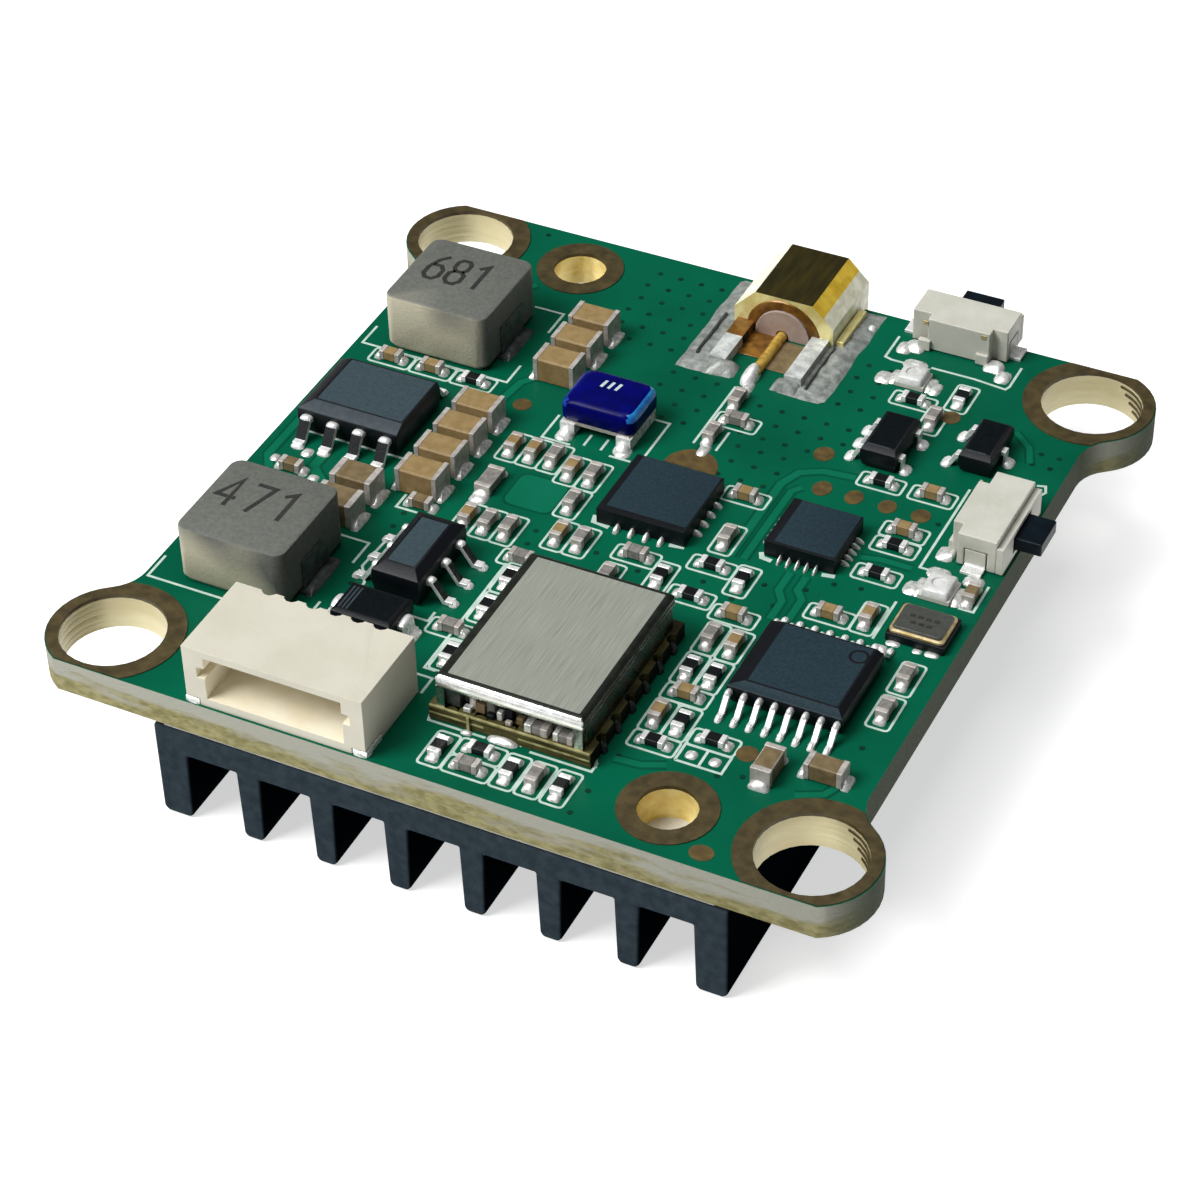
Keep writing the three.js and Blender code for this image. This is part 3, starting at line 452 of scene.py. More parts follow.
def turned(bm, profile, x, y, z, axis="z", count=24):
    """A closed profile of radius and distance, turned about an axis through a point."""
    rings = []
    for r, h in profile:
        ring = []
        for i in range(count):
            angle = 2 * math.pi * i / count
            c, s = r * math.cos(angle), r * math.sin(angle)
            ring.append(bm.verts.new((x + c, y + s, z + h) if axis == "z" else (x + c, y + h, z - s)))
        rings.append(ring)
    for low, high in zip(rings, rings[1:] + rings[:1]):
        for i in range(count):
            j = (i + 1) % count
            bm.faces.new((low[i], low[j], high[j], high[i]))


# ------------------------------------------------------------------ board, plating, tape, heat sink


def upright(face):
    return 0 if abs(face.normal.z) > 0.5 else 1


def hole_wall(face):
    return 1 if upright(face) and face.calc_center_median().z < -0.1 else 0


HOLE_SPACING = 30.5
HOLE_RADIUS = 2.2
RING_DEPTH = 0.12
THREAD_COUNT = 4
THREAD_PITCH = 0.3
THREAD_WIDTH = 0.12


def make_board():
    refined("circuit_board", (MASK, LAMINATE), 0.0, choose=upright, crease=30)
    for place in ("front_left", "front_right", "rear_left", "rear_right", "small_front", "small_rear"):
        wall = SMALL_BARREL if place.startswith("small") else BARREL
        refined("hole_plating_" + place, (RING, wall), 0.0, choose=hole_wall,
                cuts=((UP, -RING_DEPTH),))
    # The threads are ribbons in the dark ring colour: painted shade in the grooves of the wall.
    threads = bmesh.new()
    for y in (-HOLE_SPACING / 2, HOLE_SPACING / 2):
        for i in range(THREAD_COUNT):
            z = -THREAD_PITCH * (i + 1)
            path = circle(HOLE_SPACING / 2, y, HOLE_RADIUS, count=18, start=10, sweep=64 - i * 7)
            ribbon(threads, path, THREAD_WIDTH, z - THREAD_WIDTH / 2, z + THREAD_WIDTH / 2)
    piece("hole_threads", threads, (RING,), soft=0.02)
    refined("thermal_pad", (TAPE,), 0.05)
    refined("heat_sink", (ANODISED,), 0.18, steps=3)


# ------------------------------------------------------------------ copper, vias, pads, ink

TRACKS = (
    # width, then x and y of each point of the path
    (0.35, 5.3, -0.6, 5.3, 4.6, 5.7, 5.6, 6.6, 6.1, 8.0, 6.25), (0.3, 5.9, -0.6, 5.9, 4.3, 6.2, 4.7),
    (0.3, 1.3, 9.9, 1.3, 5.2), (0.35, -15.4, 0.2, -15.4, -2.6, -14.9, -3.4),
    (0.45, -13.2, -1.6, -13.2, -2.6, -12.4, -3.3), (0.3, 8.0, -0.6, 8.0, -1.8, 8.4, -2.4, 8.4, -3.6),
    (0.3, 8.7, -0.6, 8.7, -1.5, 9.1, -2.0, 9.1, -3.6), (0.35, -8.1, 4.9, -7.9, 6.4, -7.3, 7.2),
    (0.3, 12.4, 1.7, 11.0, 1.7, 10.2, 1.5), (0.3, 13.4, -12.6, 14.4, -12.1, 14.9, -11.0),
    (0.3, 6.3, -13.6, 7.4, -13.5, 8.3, -13.1), (0.25, 13.0, 12.0, 13.9, 11.2, 14.3, 10.2),
    (0.3, -12.4, 12.0, -11.0, 12.6, -10.6, 13.3),
)
POURS = (
    # fields of copper with a gap around them
    (-4.85, -2.65, -1.35, 0.75), (2.6, 4.2, -7.0, -5.0),
)
VIA_FIELDS = (
    # x0, x1, y0, y1, pitch
    (-6.0, -2.9, 11.3, 17.0, 1.02), (-2.3, 0.3, 6.7, 9.9, 1.05), (2.3, 6.5, 7.1, 9.8, 1.04),
    (5.3, 6.5, 10.7, 13.9, 1.05), (2.6, 5.0, 4.1, 6.3, 1.05), (14.4, 15.3, 10.2, 11.6, 0.8),
)
LONE_VIAS = (
    (-8.2, -3.75), (-8.2, -4.7), (-2.65, -2.5), (-2.6, -3.4), (2.3, -3.1), (0.25, -2.75), (6.5, -3.1),
    (7.35, -1.75), (8.2, -2.8), (9.0, -1.35), (11.0, -0.35), (9.9, -0.55), (10.6, 1.65), (5.0, -2.6),
    (14.7, -9.1), (11.2, -12.5), (10.3, -12.85), (6.2, -15.65), (6.1, -17.0), (-8.0, -8.65),
    (12.3, 4.8), (6.4, -13.4), (-5.3, -12.2), (-11.9, 17.1), (-11.6, 12.9), (15.4, -2.0),
)
TEST_PADS = (
    (7.0, 5.0, 0.42, 0.5), (8.45, 5.0, 0.4, 0.48), (9.95, 5.0, 0.4, 0.45), (11.45, 5.0, 0.42, 0.45),
    (6.15, 7.2, 0.45, 0.5), (10.1, 11.8, 0.42, 0.45), (11.5, -16.9, 0.5, 0.42), (-7.1, 5.0, 0.42, 0.42),
    (10.85, -11.25, 0.45, 0.45),
)
COPPER = 0.012
GAP_WIDTH = 0.09


def make_copper():
    raised, gaps, holes, pads = bmesh.new(), bmesh.new(), bmesh.new(), bmesh.new()
    for width, *numbers in TRACKS:
        path = pairs(numbers)
        ribbon(raised, path, width, 0, COPPER)
        for side in (-1, 1):
            ribbon(gaps, offset(path, side * (width / 2 + 0.07)), GAP_WIDTH, 0, COPPER / 2)
    for bounds in POURS:
        loft(gaps, [drawn_in(bounds, -0.1, z, 0.45, 4) for z in (0, COPPER / 2)])
        loft(raised, [drawn_in(bounds, 0, z, 0.4, 4) for z in (0, COPPER)])
    for x0, x1, y0, y1, pitch in VIA_FIELDS:
        for j in range(int((y1 - y0) / pitch) + 1):
            for i in range(int((x1 - x0) / pitch) + 1):
                make_via(holes, x0 + (i + 0.15 * (j % 2)) * pitch, y0 + j * pitch)
    for x, y in LONE_VIAS:
        make_via(holes, x, y)
    for x, y, rx, ry in TEST_PADS:
        prism(pads, circle(x, y, rx, ry), 0, 0.02)
    prism(pads, circle(1.35, 3.95, 1.2, 1.3, 18, 0, 180), 0, 0.02)
    printed("copper_tracks", raised, MASK_COPPER)
    printed("copper_gaps", gaps, MASK_GAP)
    printed("vias", holes, VIA)
    printed("test_pads", pads, PAD)


def make_via(bm, x, y):
    prism(bm, circle(x, y, 0.13, count=10), 0, 0.01)


def offset(path, distance):
    """The path moved sideways, each point along the normal of its neighbours."""
    moved = []
    for i, point in enumerate(path):
        before, after = path[max(0, i - 1)], path[min(len(path) - 1, i + 1)]
        way = (Vector(after) - Vector(before)).normalized()
        moved.append((point[0] - way.y * distance, point[1] + way.x * distance))
    return moved


INK_WIDTH = 0.115
INK_LINES = (
    # the frames of the larger parts, as x and y of each point
    (-15.8, -10.3, -15.8, -11.7, -8.55, -11.7, -8.55, -10.2), (-15.8, -7.4, -15.8, -6.1, -14.8, -6.1),
    (-9.9, -6.1, -8.55, -6.1, -8.55, -7.5), (-15.65, 7.5, -15.65, 6.15, -8.45, 6.15, -8.45, 7.5),
    (-15.65, 10.2, -15.65, 11.75, -14.9, 11.75), (-9.9, 11.75, -8.45, 11.75, -8.45, 10.2),
    (-5.3, 5.0, -5.3, 3.3, -3.95, 3.3), (-2.1, 3.3, -1.1, 3.3), (-0.7, 3.9, -0.7, 6.4, -1.9, 6.4),
    (-3.4, 3.5, -3.4, 4.3), (-2.6, 3.5, -2.6, 4.3), (12.65, 7.5, 12.65, 1.9, 13.2, 1.9),
    (5.85, 16.4, 5.85, 14.75, 6.2, 14.65, 8.0, 14.65),
    (8.0, 14.8, 10.0, 14.8, 11.5, 14.65, 11.6, 14.9, 11.6, 16.4), (12.6, -0.5, 12.6, -3.0),
    (-2.95, -12.45, -2.2, -12.45, -2.2, -13.4), (-1.35, -14.1, -1.2, -14.65, 0.25, -14.65),
    (0.65, -14.65, 1.3, -14.65), (3.2, -14.65, 5.85, -14.65, 5.85, -14.1),
    (1.3, -14.4, 1.75, -14.5, 2.2, -14.1, 2.8, -14.5), (-2.8, -4.9, -2.8, -12.0, -2.3, -12.0),
    (-7.5, -9.3, -7.5, -8.4, -8.1, -7.5, -8.0, -5.6), (-8.05, -11.6, -3.9, -11.6),
    (-4.0, -8.85, -4.0, -9.45, -5.0, -9.45), (-8.7, -2.6, -8.7, -3.5, -7.7, -3.5),
    (0.78, 10.0, 0.78, 5.6), (1.88, 6.9, 1.88, 5.5), (-14.6, -0.5, -9.9, -0.5), (5.7, -13.9, 5.9, -14.4),
    (8.45, -12.7, 8.45, -11.7, 10.4, -11.7, 10.4, -12.7, 8.45, -12.7), (9.42, -11.7, 9.42, -12.7),
    (15.0, 0.15, 15.65, 0.15, 15.65, 1.9), (15.1, 8.9, 15.45, 9.0, 15.6, 8.6, 15.3, 8.0),
)
CORNER_MARKS = (
    (-0.85, -0.55, -0.75, -0.95, 0.0, -1.05), (2.75, -1.05, 3.4, -0.95),
    (6.4, 0.1, 6.55, -0.2, 7.0, -0.25), (9.2, -0.2, 9.75, -0.1),
)


def make_ink():
    bm = bmesh.new()
    for i, numbers in enumerate(INK_LINES):
        ribbon(bm, pairs(numbers), INK_WIDTH, 0, 0.014 + 0.001 * (i % 3))
    for numbers in CORNER_MARKS:
        ribbon(bm, pairs(numbers), 0.22, 0, 0.018)
    for i, (kind, x, y, along) in enumerate(SMALL_PARTS):
        if kind not in ("lone", "pale"):
            half_x, half_y = (0.99, 0.49) if along == "x" else (0.49, 0.99)
            path = round_rectangle(x - half_x, x + half_x, y - half_y, y + half_y, 0.15, 2)
            ribbon(bm, path, INK_WIDTH * 0.9, 0, 0.012 + 0.001 * (i % 7), closed=True)
    printed("ink_outlines", bm, SILK)


# ------------------------------------------------------------------ the smallest parts

SMALL_PARTS = (
    # kind, x, y, the direction of its length
    ("tan", -6.05, 2.15, "y"), ("tan", -5.08, 2.15, "y"), ("grey", -4.1, 2.15, "y"),
    ("tan", -3.05, 1.7, "y"), ("grey", -2.05, 1.7, "y"), ("grey", -2.05, -0.3, "y"),
    ("tan", -5.6, -2.95, "y"), ("grey", -4.65, -2.95, "y"), ("grey", -3.68, -2.95, "y"),
    ("tan", -1.6, -2.4, "y"), ("grey", -0.6, -2.4, "y"),
    ("grey", 1.85, -2.3, "x"), ("grey", 1.35, -4.05, "y"), ("black", 3.32, -3.1, "y"),
    ("black", 4.95, -1.6, "x"), ("black", 6.45, -1.95, "y"), ("black", 4.95, -3.7, "x"),
    ("tan", 7.05, -4.1, "x"), ("tan", 4.35, 3.1, "x"), ("grey", 4.8, 0.25, "y"),
    ("tan", 11.25, 3.68, "x"), ("black", 11.25, 2.65, "x"), ("black", 11.25, 0.68, "x"),
    ("black", 9.12, 6.35, "x"), ("tan", 11.42, 6.38, "x"), ("black", 10.05, 13.2, "y"),
    ("black", 8.2, 12.2, "x"), ("grey", 9.5, 11.25, "y"), ("tan", 10.5, -2.45, "x"),
    ("tan", 12.0, -1.95, "y"), ("grey", 14.75, -4.72, "y"), ("grey", 14.75, -6.87, "y"),
    ("grey", 6.78, -5.7, "y"), ("tan", 7.83, -5.75, "y"), ("black", 6.78, -7.7, "y"),
    ("black", 7.83, -7.75, "y"), ("tan", 7.32, -9.2, "x"), ("tan", 6.82, -10.7, "y"),
    ("black", 7.83, -10.75, "y"), ("black", 7.32, -12.2, "x"), ("black", 9.42, -11.2, "x"),
    ("black", -0.03, -15.97, "y"), ("black", 1.5, -15.45, "x"), ("grey", 1.5, -16.48, "x"),
    ("black", 3.05, -15.97, "y"), ("grey", 4.13, -15.97, "y"), ("black", 5.22, -15.97, "y"),
    ("black", -2.2, -5.75, "y"), ("black", -2.2, -7.75, "y"), ("black", -2.2, -10.95, "y"),
    ("grey", -2.9, -9.55, "x"), ("grey", -2.3, -4.5, "x"),
    ("tan", -13.87, 5.6, "x"), ("tan", -11.83, 5.6, "x"), ("black", -9.8, 5.6, "x"),
    ("lone", -13.95, -3.1, "x"), ("lone", -7.75, -3.05, "x"), ("grey", 1.9, 7.65, "x"),
    ("pale", 1.32, 9.0, "y"), ("pale", 1.32, 6.35, "y"), ("lone", 15.25, 0.95, "y"),
)
# Larger chip parts that only the looks have: finish, x, y, direction, length, width, height.
LARGER_PARTS = (
    ("brown", -10.6, -3.34, "x", 1.95, 1.27, 1.2), ("brown", -10.6, -5.04, "x", 1.95, 1.27, 1.2),
    ("brown", 14.1, -11.2, "x", 1.6, 0.85, 0.8), ("brown", 12.0, -11.9, "y", 1.6, 0.85, 0.85),
    ("grey", -5.8, -0.55, "y", 1.5, 0.75, 0.5),
)
PART_FINISH = {
    "pale": GREY_PART, "tan": TAN, "grey": GREY_PART, "black": BLACK_PART, "lone": BROWN, "brown": BROWN,
}
PART_LENGTH, PART_WIDTH = 1.0, 0.52


def chip_part(bm, solder, x, y, along, length, width, height, end=0.24, rim=0.0, finish=0):
    """A ceramic block with metal ends and a pale rim, a painted highlight along its top edges in the colour
    of the ends, and solder of a finish that climbs each end.
    """

    def swap(a, b):
        return (a, b) if along == "x" else (b, a)

    def outline(a, b, z):
        a, b = swap(a, b)
        return level(corners(x - a, x + a, y - b, y + b), z)

    half = length / 2
    inner, side, top = half - length * end, width / 2 - 0.012, height - 0.012
    # The rim is a painted highlight on the top edges.
    if rim:
        rings = outline(inner, side, 0.05), outline(inner, side, top - rim), outline(inner, side - rim, top)
        made = loft(bm, rings)
        bm.faces.ensure_lookup_table()
        edge = set(made[1]) | set(made[2])
        for face in bm.faces[-5:]:
            if set(face.verts) <= edge and len(set(face.verts) & set(made[2])) == 2:
                face.material_index = 1
    else:
        loft(bm, [outline(inner, side, 0.05), outline(inner, side, top)])
    for way in (-1, 1):
        low, high = sorted((way * inner, way * half))
        (x0, y0), (x1, y1) = swap(low, -width / 2), swap(high, width / 2)
        box(bm, x + x0, x + x1, y + y0, y + y1, 0.03, height, 1)
        px, py = swap(way * (half + 0.09), 0)
        size, lean = swap(0.42, width * 1.04), swap(-way * 0.14, 0)
        blob(solder, x + px, y + py, *size, min(0.3, height * 0.55), lean, finish, square=5)


def make_small_parts():
    bodies, solder = {}, bmesh.new()
    for kind, x, y, along in SMALL_PARTS:
        bm = bodies.setdefault(kind, bmesh.new())
        chip_part(bm, solder, x, y, along, PART_LENGTH, PART_WIDTH, 0.36 if kind == "black" else 0.5)
    for kind, *place_and_size in LARGER_PARTS:
        bm = bodies.setdefault(kind, bmesh.new())
        chip_part(bm, solder, *place_and_size, 0.15, 0.05)
    for x in (8.93, 9.92):
        blob(solder, x, -12.2, 0.5, 0.5, 0.12)
    for kind, bm in bodies.items():
        end, slot = (TIN, "chip") if kind == "black" else (CAP_END, "capacitor")
        piece(f"small_{kind}_parts", bm, (PART_FINISH[kind], end), soft=0.035)
    for x, y, width, depth, height in SOLDER_SPOTS:
        blob(solder, x, y, width, depth, height * 0.6, square=4.0)
    soldered("solder_joints", solder, SOLDER)


SOLDER_SPOTS = (
    # beside the lights, the blue filter, the crystal and along the antenna line
    (12.9, 0.55, 0.8, 0.9, 0.22), (13.5, 1.85, 1.0, 0.7, 0.25), (15.0, 1.9, 0.9, 0.7, 0.3),
    (6.4, 13.3, 0.8, 0.9, 0.25), (8.75, 13.4, 0.55, 0.9, 0.25), (7.3, 14.7, 1.1, 0.7, 0.28),
    (11.1, 15.4, 0.7, 0.9, 0.3), (6.4, 15.7, 0.7, 0.9, 0.3), (-4.5, 3.85, 0.7, 0.9, 0.3),
    (-1.65, 3.75, 0.7, 0.8, 0.3), (13.45, -2.95, 0.6, 0.35, 0.14), (14.5, -3.0, 0.4, 0.3, 0.1),
    (15.1, -2.95, 0.6, 0.35, 0.14), (13.1, -3.4, 0.55, 0.4, 0.16), (1.3, 10.1, 0.5, 0.9, 0.3),
    (1.3, 7.65, 0.5, 0.7, 0.25), (1.4, 5.3, 0.5, 0.9, 0.22), (-15.0, -2.7, 0.4, 0.5, 0.15),
    (-13.9, -1.85, 0.5, 0.6, 0.2), (-12.8, -3.3, 0.5, 0.5, 0.2), (-5.8, -1.6, 0.8, 0.7, 0.3),
)


def make_large_capacitors():
    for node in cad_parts:
        if node.startswith("capacitor_"):
            x0, x1, y0, y1, z0, z1 = span(node)
            bm = bmesh.new()
            chip_part(bm, bm, *middle(node), "x", x1 - x0, y1 - y0, z1 - z0, 0.11, 0.07, 2)
            piece(node + "_look", bm, (TAN, CAP_END, SOLDER), (node,), soft=0.06)


# ------------------------------------------------------------------ leaded and leadless chips


def lead_profile(knee, tip, height, thick):
    """A gull-wing lead in y and z, leaving the body at the height and ending flat at the tip."""
    foot = min(tip - 0.25, knee + 0.5)
    return [
        (tip, 0.02), (tip, 0.02 + thick), (foot + 0.1, 0.02 + thick), (knee + 0.1, height + thick),
        (knee - 0.5, height + thick), (knee - 0.5, height), (knee, height), (foot, 0.02),
    ]


def leaded_chip(node, width, depth, height, leads, lead_width, margins, slope, turn=0.0,
                top=SLATE_TOP, front_chamfer_painted_light=MOULD, bars=(), shaded_slant=TIN, small=False):
    """A chip with gull-wing leads, each given by its place along x and its side.

    margins are how far the flat top stays back from the left, right, front and back.
    """
    x0, x1, y0, y1, _, _ = span(node)
    reach = ((x1 - x0) if turn else (y1 - y0)) / 2
    left, right, front, back = margins
    hw, hd = width / 2, depth / 2

    def ring(z, l, r, f, b):
        return level(corners(-hw + l, hw - r, -hd + f, hd - b), z)

    bm = bmesh.new()
    waist, shoulder = height * 0.5, height - slope
    line = 0.09
    made = loft(bm, [
        ring(0.1, 0.1, 0.1, 0.1, 0.1), ring(waist, 0, 0, 0, 0), ring(shoulder, 0.02, 0.02, 0.02, 0.02),
        ring(shoulder + 0.05, 0.05, 0.04, 0.05, 0.04), ring(height - 0.005, left, right, front, back),
        ring(height, left + line, right + line, front + line, back + line),
    ], 0, 1)
    # Painted light on the front: a thin highlight strip at the shoulder, and the front chamfer in its own
    # finish, lighter than the mould on some chips.
    for low, finish in ((2, 2), (3, 4)):
        strip = {made[low][0], made[low][1], made[low + 1][0], made[low + 1][1]}
        for face in bm.faces:
            if set(face.verts) == strip:
                face.material_index = finish
    thick = 0.15 if lead_width < 0.3 else 0.2
    for place, side in leads:
        far = reach - 0.3 if small and side > 0 else reach
        outline = lead_profile(hd + (0.1 if small else 0.2), far, waist - 0.02, thick)
        if side < 0:
            outline = [(-y, z) for y, z in reversed(outline)]
        first = len(bm.faces)
        ends = place - lead_width / 2, place + lead_width / 2
        loft(bm, [[(x, y, z) for y, z in outline] for x in ends], 3)
        bm.normal_update()
        bm.faces.ensure_lookup_table()
        for face in bm.faces[first:]:
            # Painted shade: the sloping faces of the lead take a darker finish.
            if abs(face.normal.y) > 0.5 and 0.2 < face.calc_center_median().z < waist:
                face.material_index = 5
        if small:
            blob(bm, place, side * (far - 0.04), 0.72, 0.5, 0.24, (0, -side * 0.16), 3, square=3.0)
            continue
        blob(bm, place, side * (reach - 0.02), lead_width * 1.25, 0.44, 0.22, (0, -side * 0.08), 3)
        knee = waist + thick - 0.03
        blob(bm, place, side * (hd + 0.14), lead_width * 1.1, 0.44, 0.15, (0, side * 0.05), 3, knee)
    if small:
        # A thin painted highlight along the front edge of the top.
        box(bm, hw - 0.38, hw - 0.29, -hd + 0.2, hd * 0.5, height - 0.02, height + 0.006, 2)
    for place in bars:
        box(bm, -hw + 0.3, hw - 0.3, place, place + 0.09, height - 0.02, height + 0.008, 2)
    finishes = (MOULD, top, MOULD_HIGHLIGHT_AND_MARK, TIN, front_chamfer_painted_light, shaded_slant)
    piece(node + "_look", bm, finishes, (node,), at=middle(node), turn=turn, soft=0.02)


PAD_LENGTH = 0.42


def rows(count, pitch, sides=(-1, 1)):
    return [((i - (count - 1) / 2) * pitch, side) for side in sides for i in range(count)]


def leadless_chip(node, pads, pitch, margins):
    x0, x1, y0, y1, _, height = span(node)
    left, right, front, back = margins
    cx, cy = middle(node)
    bm = bmesh.new()
    top = corners(x0 + left, x1 - right, y0 + front, y1 - back)
    sides = corners(x0, x1, y0, y1)
    loft(bm, [level(sides, 0.02), level(sides, height - 0.03), level(top, height)], 0, 1)
    wide = pitch * 0.4
    for i in range(pads):
        along = (i - (pads - 1) / 2) * pitch
        for side, x, y in ((-1, x0, y0), (1, x1, y1)):
            out = side * PAD_LENGTH * 0.35
            blob(bm, cx + along, y + out, wide, PAD_LENGTH * 1.3, 0.26, (0, -side * 0.12), 2)
            blob(bm, x + out, cy + along, PAD_LENGTH * 1.1, wide, 0.24, (-side * 0.12, 0), 2)
    piece(node + "_look", bm, (MOULD, DARK_TOP, SOLDER), (node,), soft=0.02)


def make_chips():
    quarter = -math.pi / 2
    leaded_chip("step_down_converter", 4.9, 3.9, 1.5, rows(4, 1.27), 0.5, (0.6, 0.04, 0.55, 0.12), 0.32,
                front_chamfer_painted_light=MOULD_HIGHLIGHT_AND_MARK, shaded_slant=MOULD)
    leaded_chip("flat_pack_chip", 4.15, 2.2, 1.6, rows(3, 1.27), 0.36, (0.5, 0.5, 0.4, 0.4), 0.3, quarter,
                shaded_slant=SHADED_TIN)
    leaded_chip("catch_diode", 2.0, 2.75, 1.1, rows(1, 0), 0.8, (0.15, 0.2, 0.2, 0.15), 0.12, quarter,
                BLACK_TOP, bars=(-1.15, -0.98, -0.81))
    leaded_chip("microcontroller", 4.9, 4.3, 1.1, rows(8, 0.65), 0.24, (0.65, 0.3, 0.34, 0.12), 0.25,
                top=DARK_TOP, front_chamfer_painted_light=DARK_TOP)
    sides = (0.15, 0.3, 0.15, 0.15)
    leads = rows(3, 0.95, (-1,)) + rows(2, 1.9, (1,))
    leaded_chip("small_regulator", 2.9, 1.65, 1.1, leads, 0.36, sides, 0.2, quarter, BLACK_TOP, small=True)
    leads = rows(2, 1.9, (-1,)) + [(0, 1)]
    leaded_chip("small_transistor", 2.8, 1.5, 1.05, leads, 0.38, sides, 0.2, quarter, BLACK_TOP, small=True)
    leadless_chip("power_amplifier", 4, 0.67, (0.32, 0.08, 0.32, 0.05))
    leadless_chip("modulator_chip", 5, 0.4, (0.4, 0.06, 0.12, 0.05))
    dimple = bmesh.new()
    x1, y1 = span("microcontroller")[1], middle("microcontroller")[1] + 1.3
    turned(dimple, ((0.30, 0), (0.36, 0.012), (0.42, 0)), x1 - 0.75, y1, 1.1)
    piece("pin_one_ring", dimple, (MOULD,))


# ------------------------------------------------------------------ inductors

DIGIT_STROKES = {
    # x and y of each point of a stroke, in a cell one wide and two high
    "1": ((0.15, 1.65, 0.6, 2.0, 0.6, 0.0),),
    "4": ((0.7, 0.0, 0.7, 2.0, 0.05, 0.65, 0.59, 0.65), (0.81, 0.65, 0.98, 0.65)),
    "6": ((0.8, 2.0, 0.35, 1.6, 0.05, 0.9, 0.05, 0.3, 0.3, 0.0, 0.7, 0.0, 0.95, 0.3, 0.95, 0.85, 0.7,
          1.15, 0.2, 1.15),),
    "7": ((0.05, 1.97, 0.95, 1.97, 0.4, 0.0),),
    "8": ((0.3, 1.05, 0.05, 0.8, 0.05, 0.3, 0.3, 0.0, 0.7, 0.0, 0.95, 0.3, 0.95, 0.8, 0.7, 1.05, 0.3,
          1.05, 0.1, 1.3, 0.1, 1.75, 0.3, 2.0, 0.7, 2.0, 0.9, 1.75, 0.9, 1.3, 0.7, 1.05),),
}


def make_inductor(name, figures, cell, pitch):
    x0, x1, y0, y1, _, height = span(name + "_core")
    bm = bmesh.new()
    levels = (0.08, 0.12), (0.3, 0.0), (height - 0.12, 0.0), (height - 0.04, 0.03), (height, 0.11)
    loft(bm, [drawn_in((x0, x1, y0, y1), inset, z, 0.5, 6) for z, inset in levels])
    piece(name + "_core_look", bm, (POWDER,), (name + "_core",))

    cx, cy = middle(name + "_core")
    marks = bmesh.new()
    left = cx - (pitch * (len(figures) - 1) + cell) / 2 - 0.25
    for i, figure in enumerate(figures):
        for stroke in DIGIT_STROKES[figure]:
            path = [(left + i * pitch + px * cell, cy - 0.5 + py * 0.9) for px, py in pairs(stroke)]
            ribbon(marks, path, 0.21, height - 0.03, height + 0.003)
    printed(name + "_figures", marks, INK)

    ends = bmesh.new()
    for side, face in ((-1, x0), (1, x1)):
        low, high = sorted((face - side * 0.05, face + side * 0.07))
        box(ends, low, high, cy - 1.05, cy + 1.05, 0.02, 1.55)
        low, high = sorted((face - side * 1.2, face + side * 0.42))
        box(ends, low, high, cy - 1.25, cy + 1.25, 0.0, 0.1)
        blob(ends, face + side * 0.3, cy, 0.5, 2.6, 0.25, (-side * 0.2, 0), square=6)
    piece(name + "_terminals_look", ends, (TERMINAL,), (name + "_winding",), soft=0.03)


# ------------------------------------------------------------------ connector, coaxial socket, switches


MOUTH_ROOF = 2.25
MOUTH_RAISED = 0.25
CONTACT_CUT = 1.1


def mouth_painted_light(face):
    """Painted light: the inside of the mouth takes a paler, lit copy of the ivory, where light comes
    through its walls.
    """
    x0, x1, y0, y1, low, high = span("connector_housing")
    x, y, z = face.calc_center_median()
    inside = x0 + 0.35 < x < x1 - 0.35 and y0 + 0.05 < y < y1 - 0.5 and low + 0.3 < z < high - 0.3
    return 1 if inside else 0


def make_connector():
    """The roof of the mouth is made thinner and the contacts shorter, as the photograph shows them."""
    finishes = (IVORY, IVORY_LIT)
    housing = refined("connector_housing", finishes, 0.05, 3, mouth_painted_light)
    for vertex in housing.data.vertices:
        if abs(vertex.co.z - hole_centre.z - MOUTH_ROOF * MM) < 0.02 * MM:
            vertex.co.z += MOUTH_RAISED * MM
    for i in range(6):
        contact = refined(f"connector_contact_{i + 1}", (TIN,), 0.02)
        end = min(v.co.y for v in contact.data.vertices)
        for vertex in contact.data.vertices:
            if vertex.co.y < end + 0.3 * MM:
                vertex.co.y += CONTACT_CUT * MM
    bm = bmesh.new()
    for side in ("left", "right"):
        refined("connector_anchor_" + side, (TIN,), 0.03)
        x, y = middle("connector_anchor_" + side)
        blob(bm, x, y - 0.35, 0.75, 0.6, 0.3)
    for i in range(6):
        x0, x1, _, y1, _, _ = span(f"connector_contact_{i + 1}")
        blob(bm, (x0 + x1) / 2, y1 - 0.15, 0.5, 0.9, 0.22)
    soldered("connector_solder", bm, SOLDER)


def shell_reflection_finish(face):
    """The gold carries painted reflections by the way each face looks: dark on top, yellow on the upper
    bevels, pale in front and pale grey elsewhere. It is grey where solder ran.
    """
    centre = face.calc_center_median()
    if centre.z < 0.55 and centre.y < 14.19:
        return 5 if centre.x < 1.2 and centre.y > 12.9 else 4
    if face.normal.y < -0.5:
        return 1
    if face.normal.z > 0.9:
        return 0
    return 2 if centre.z > 1.55 and face.normal.x > 0 else 3


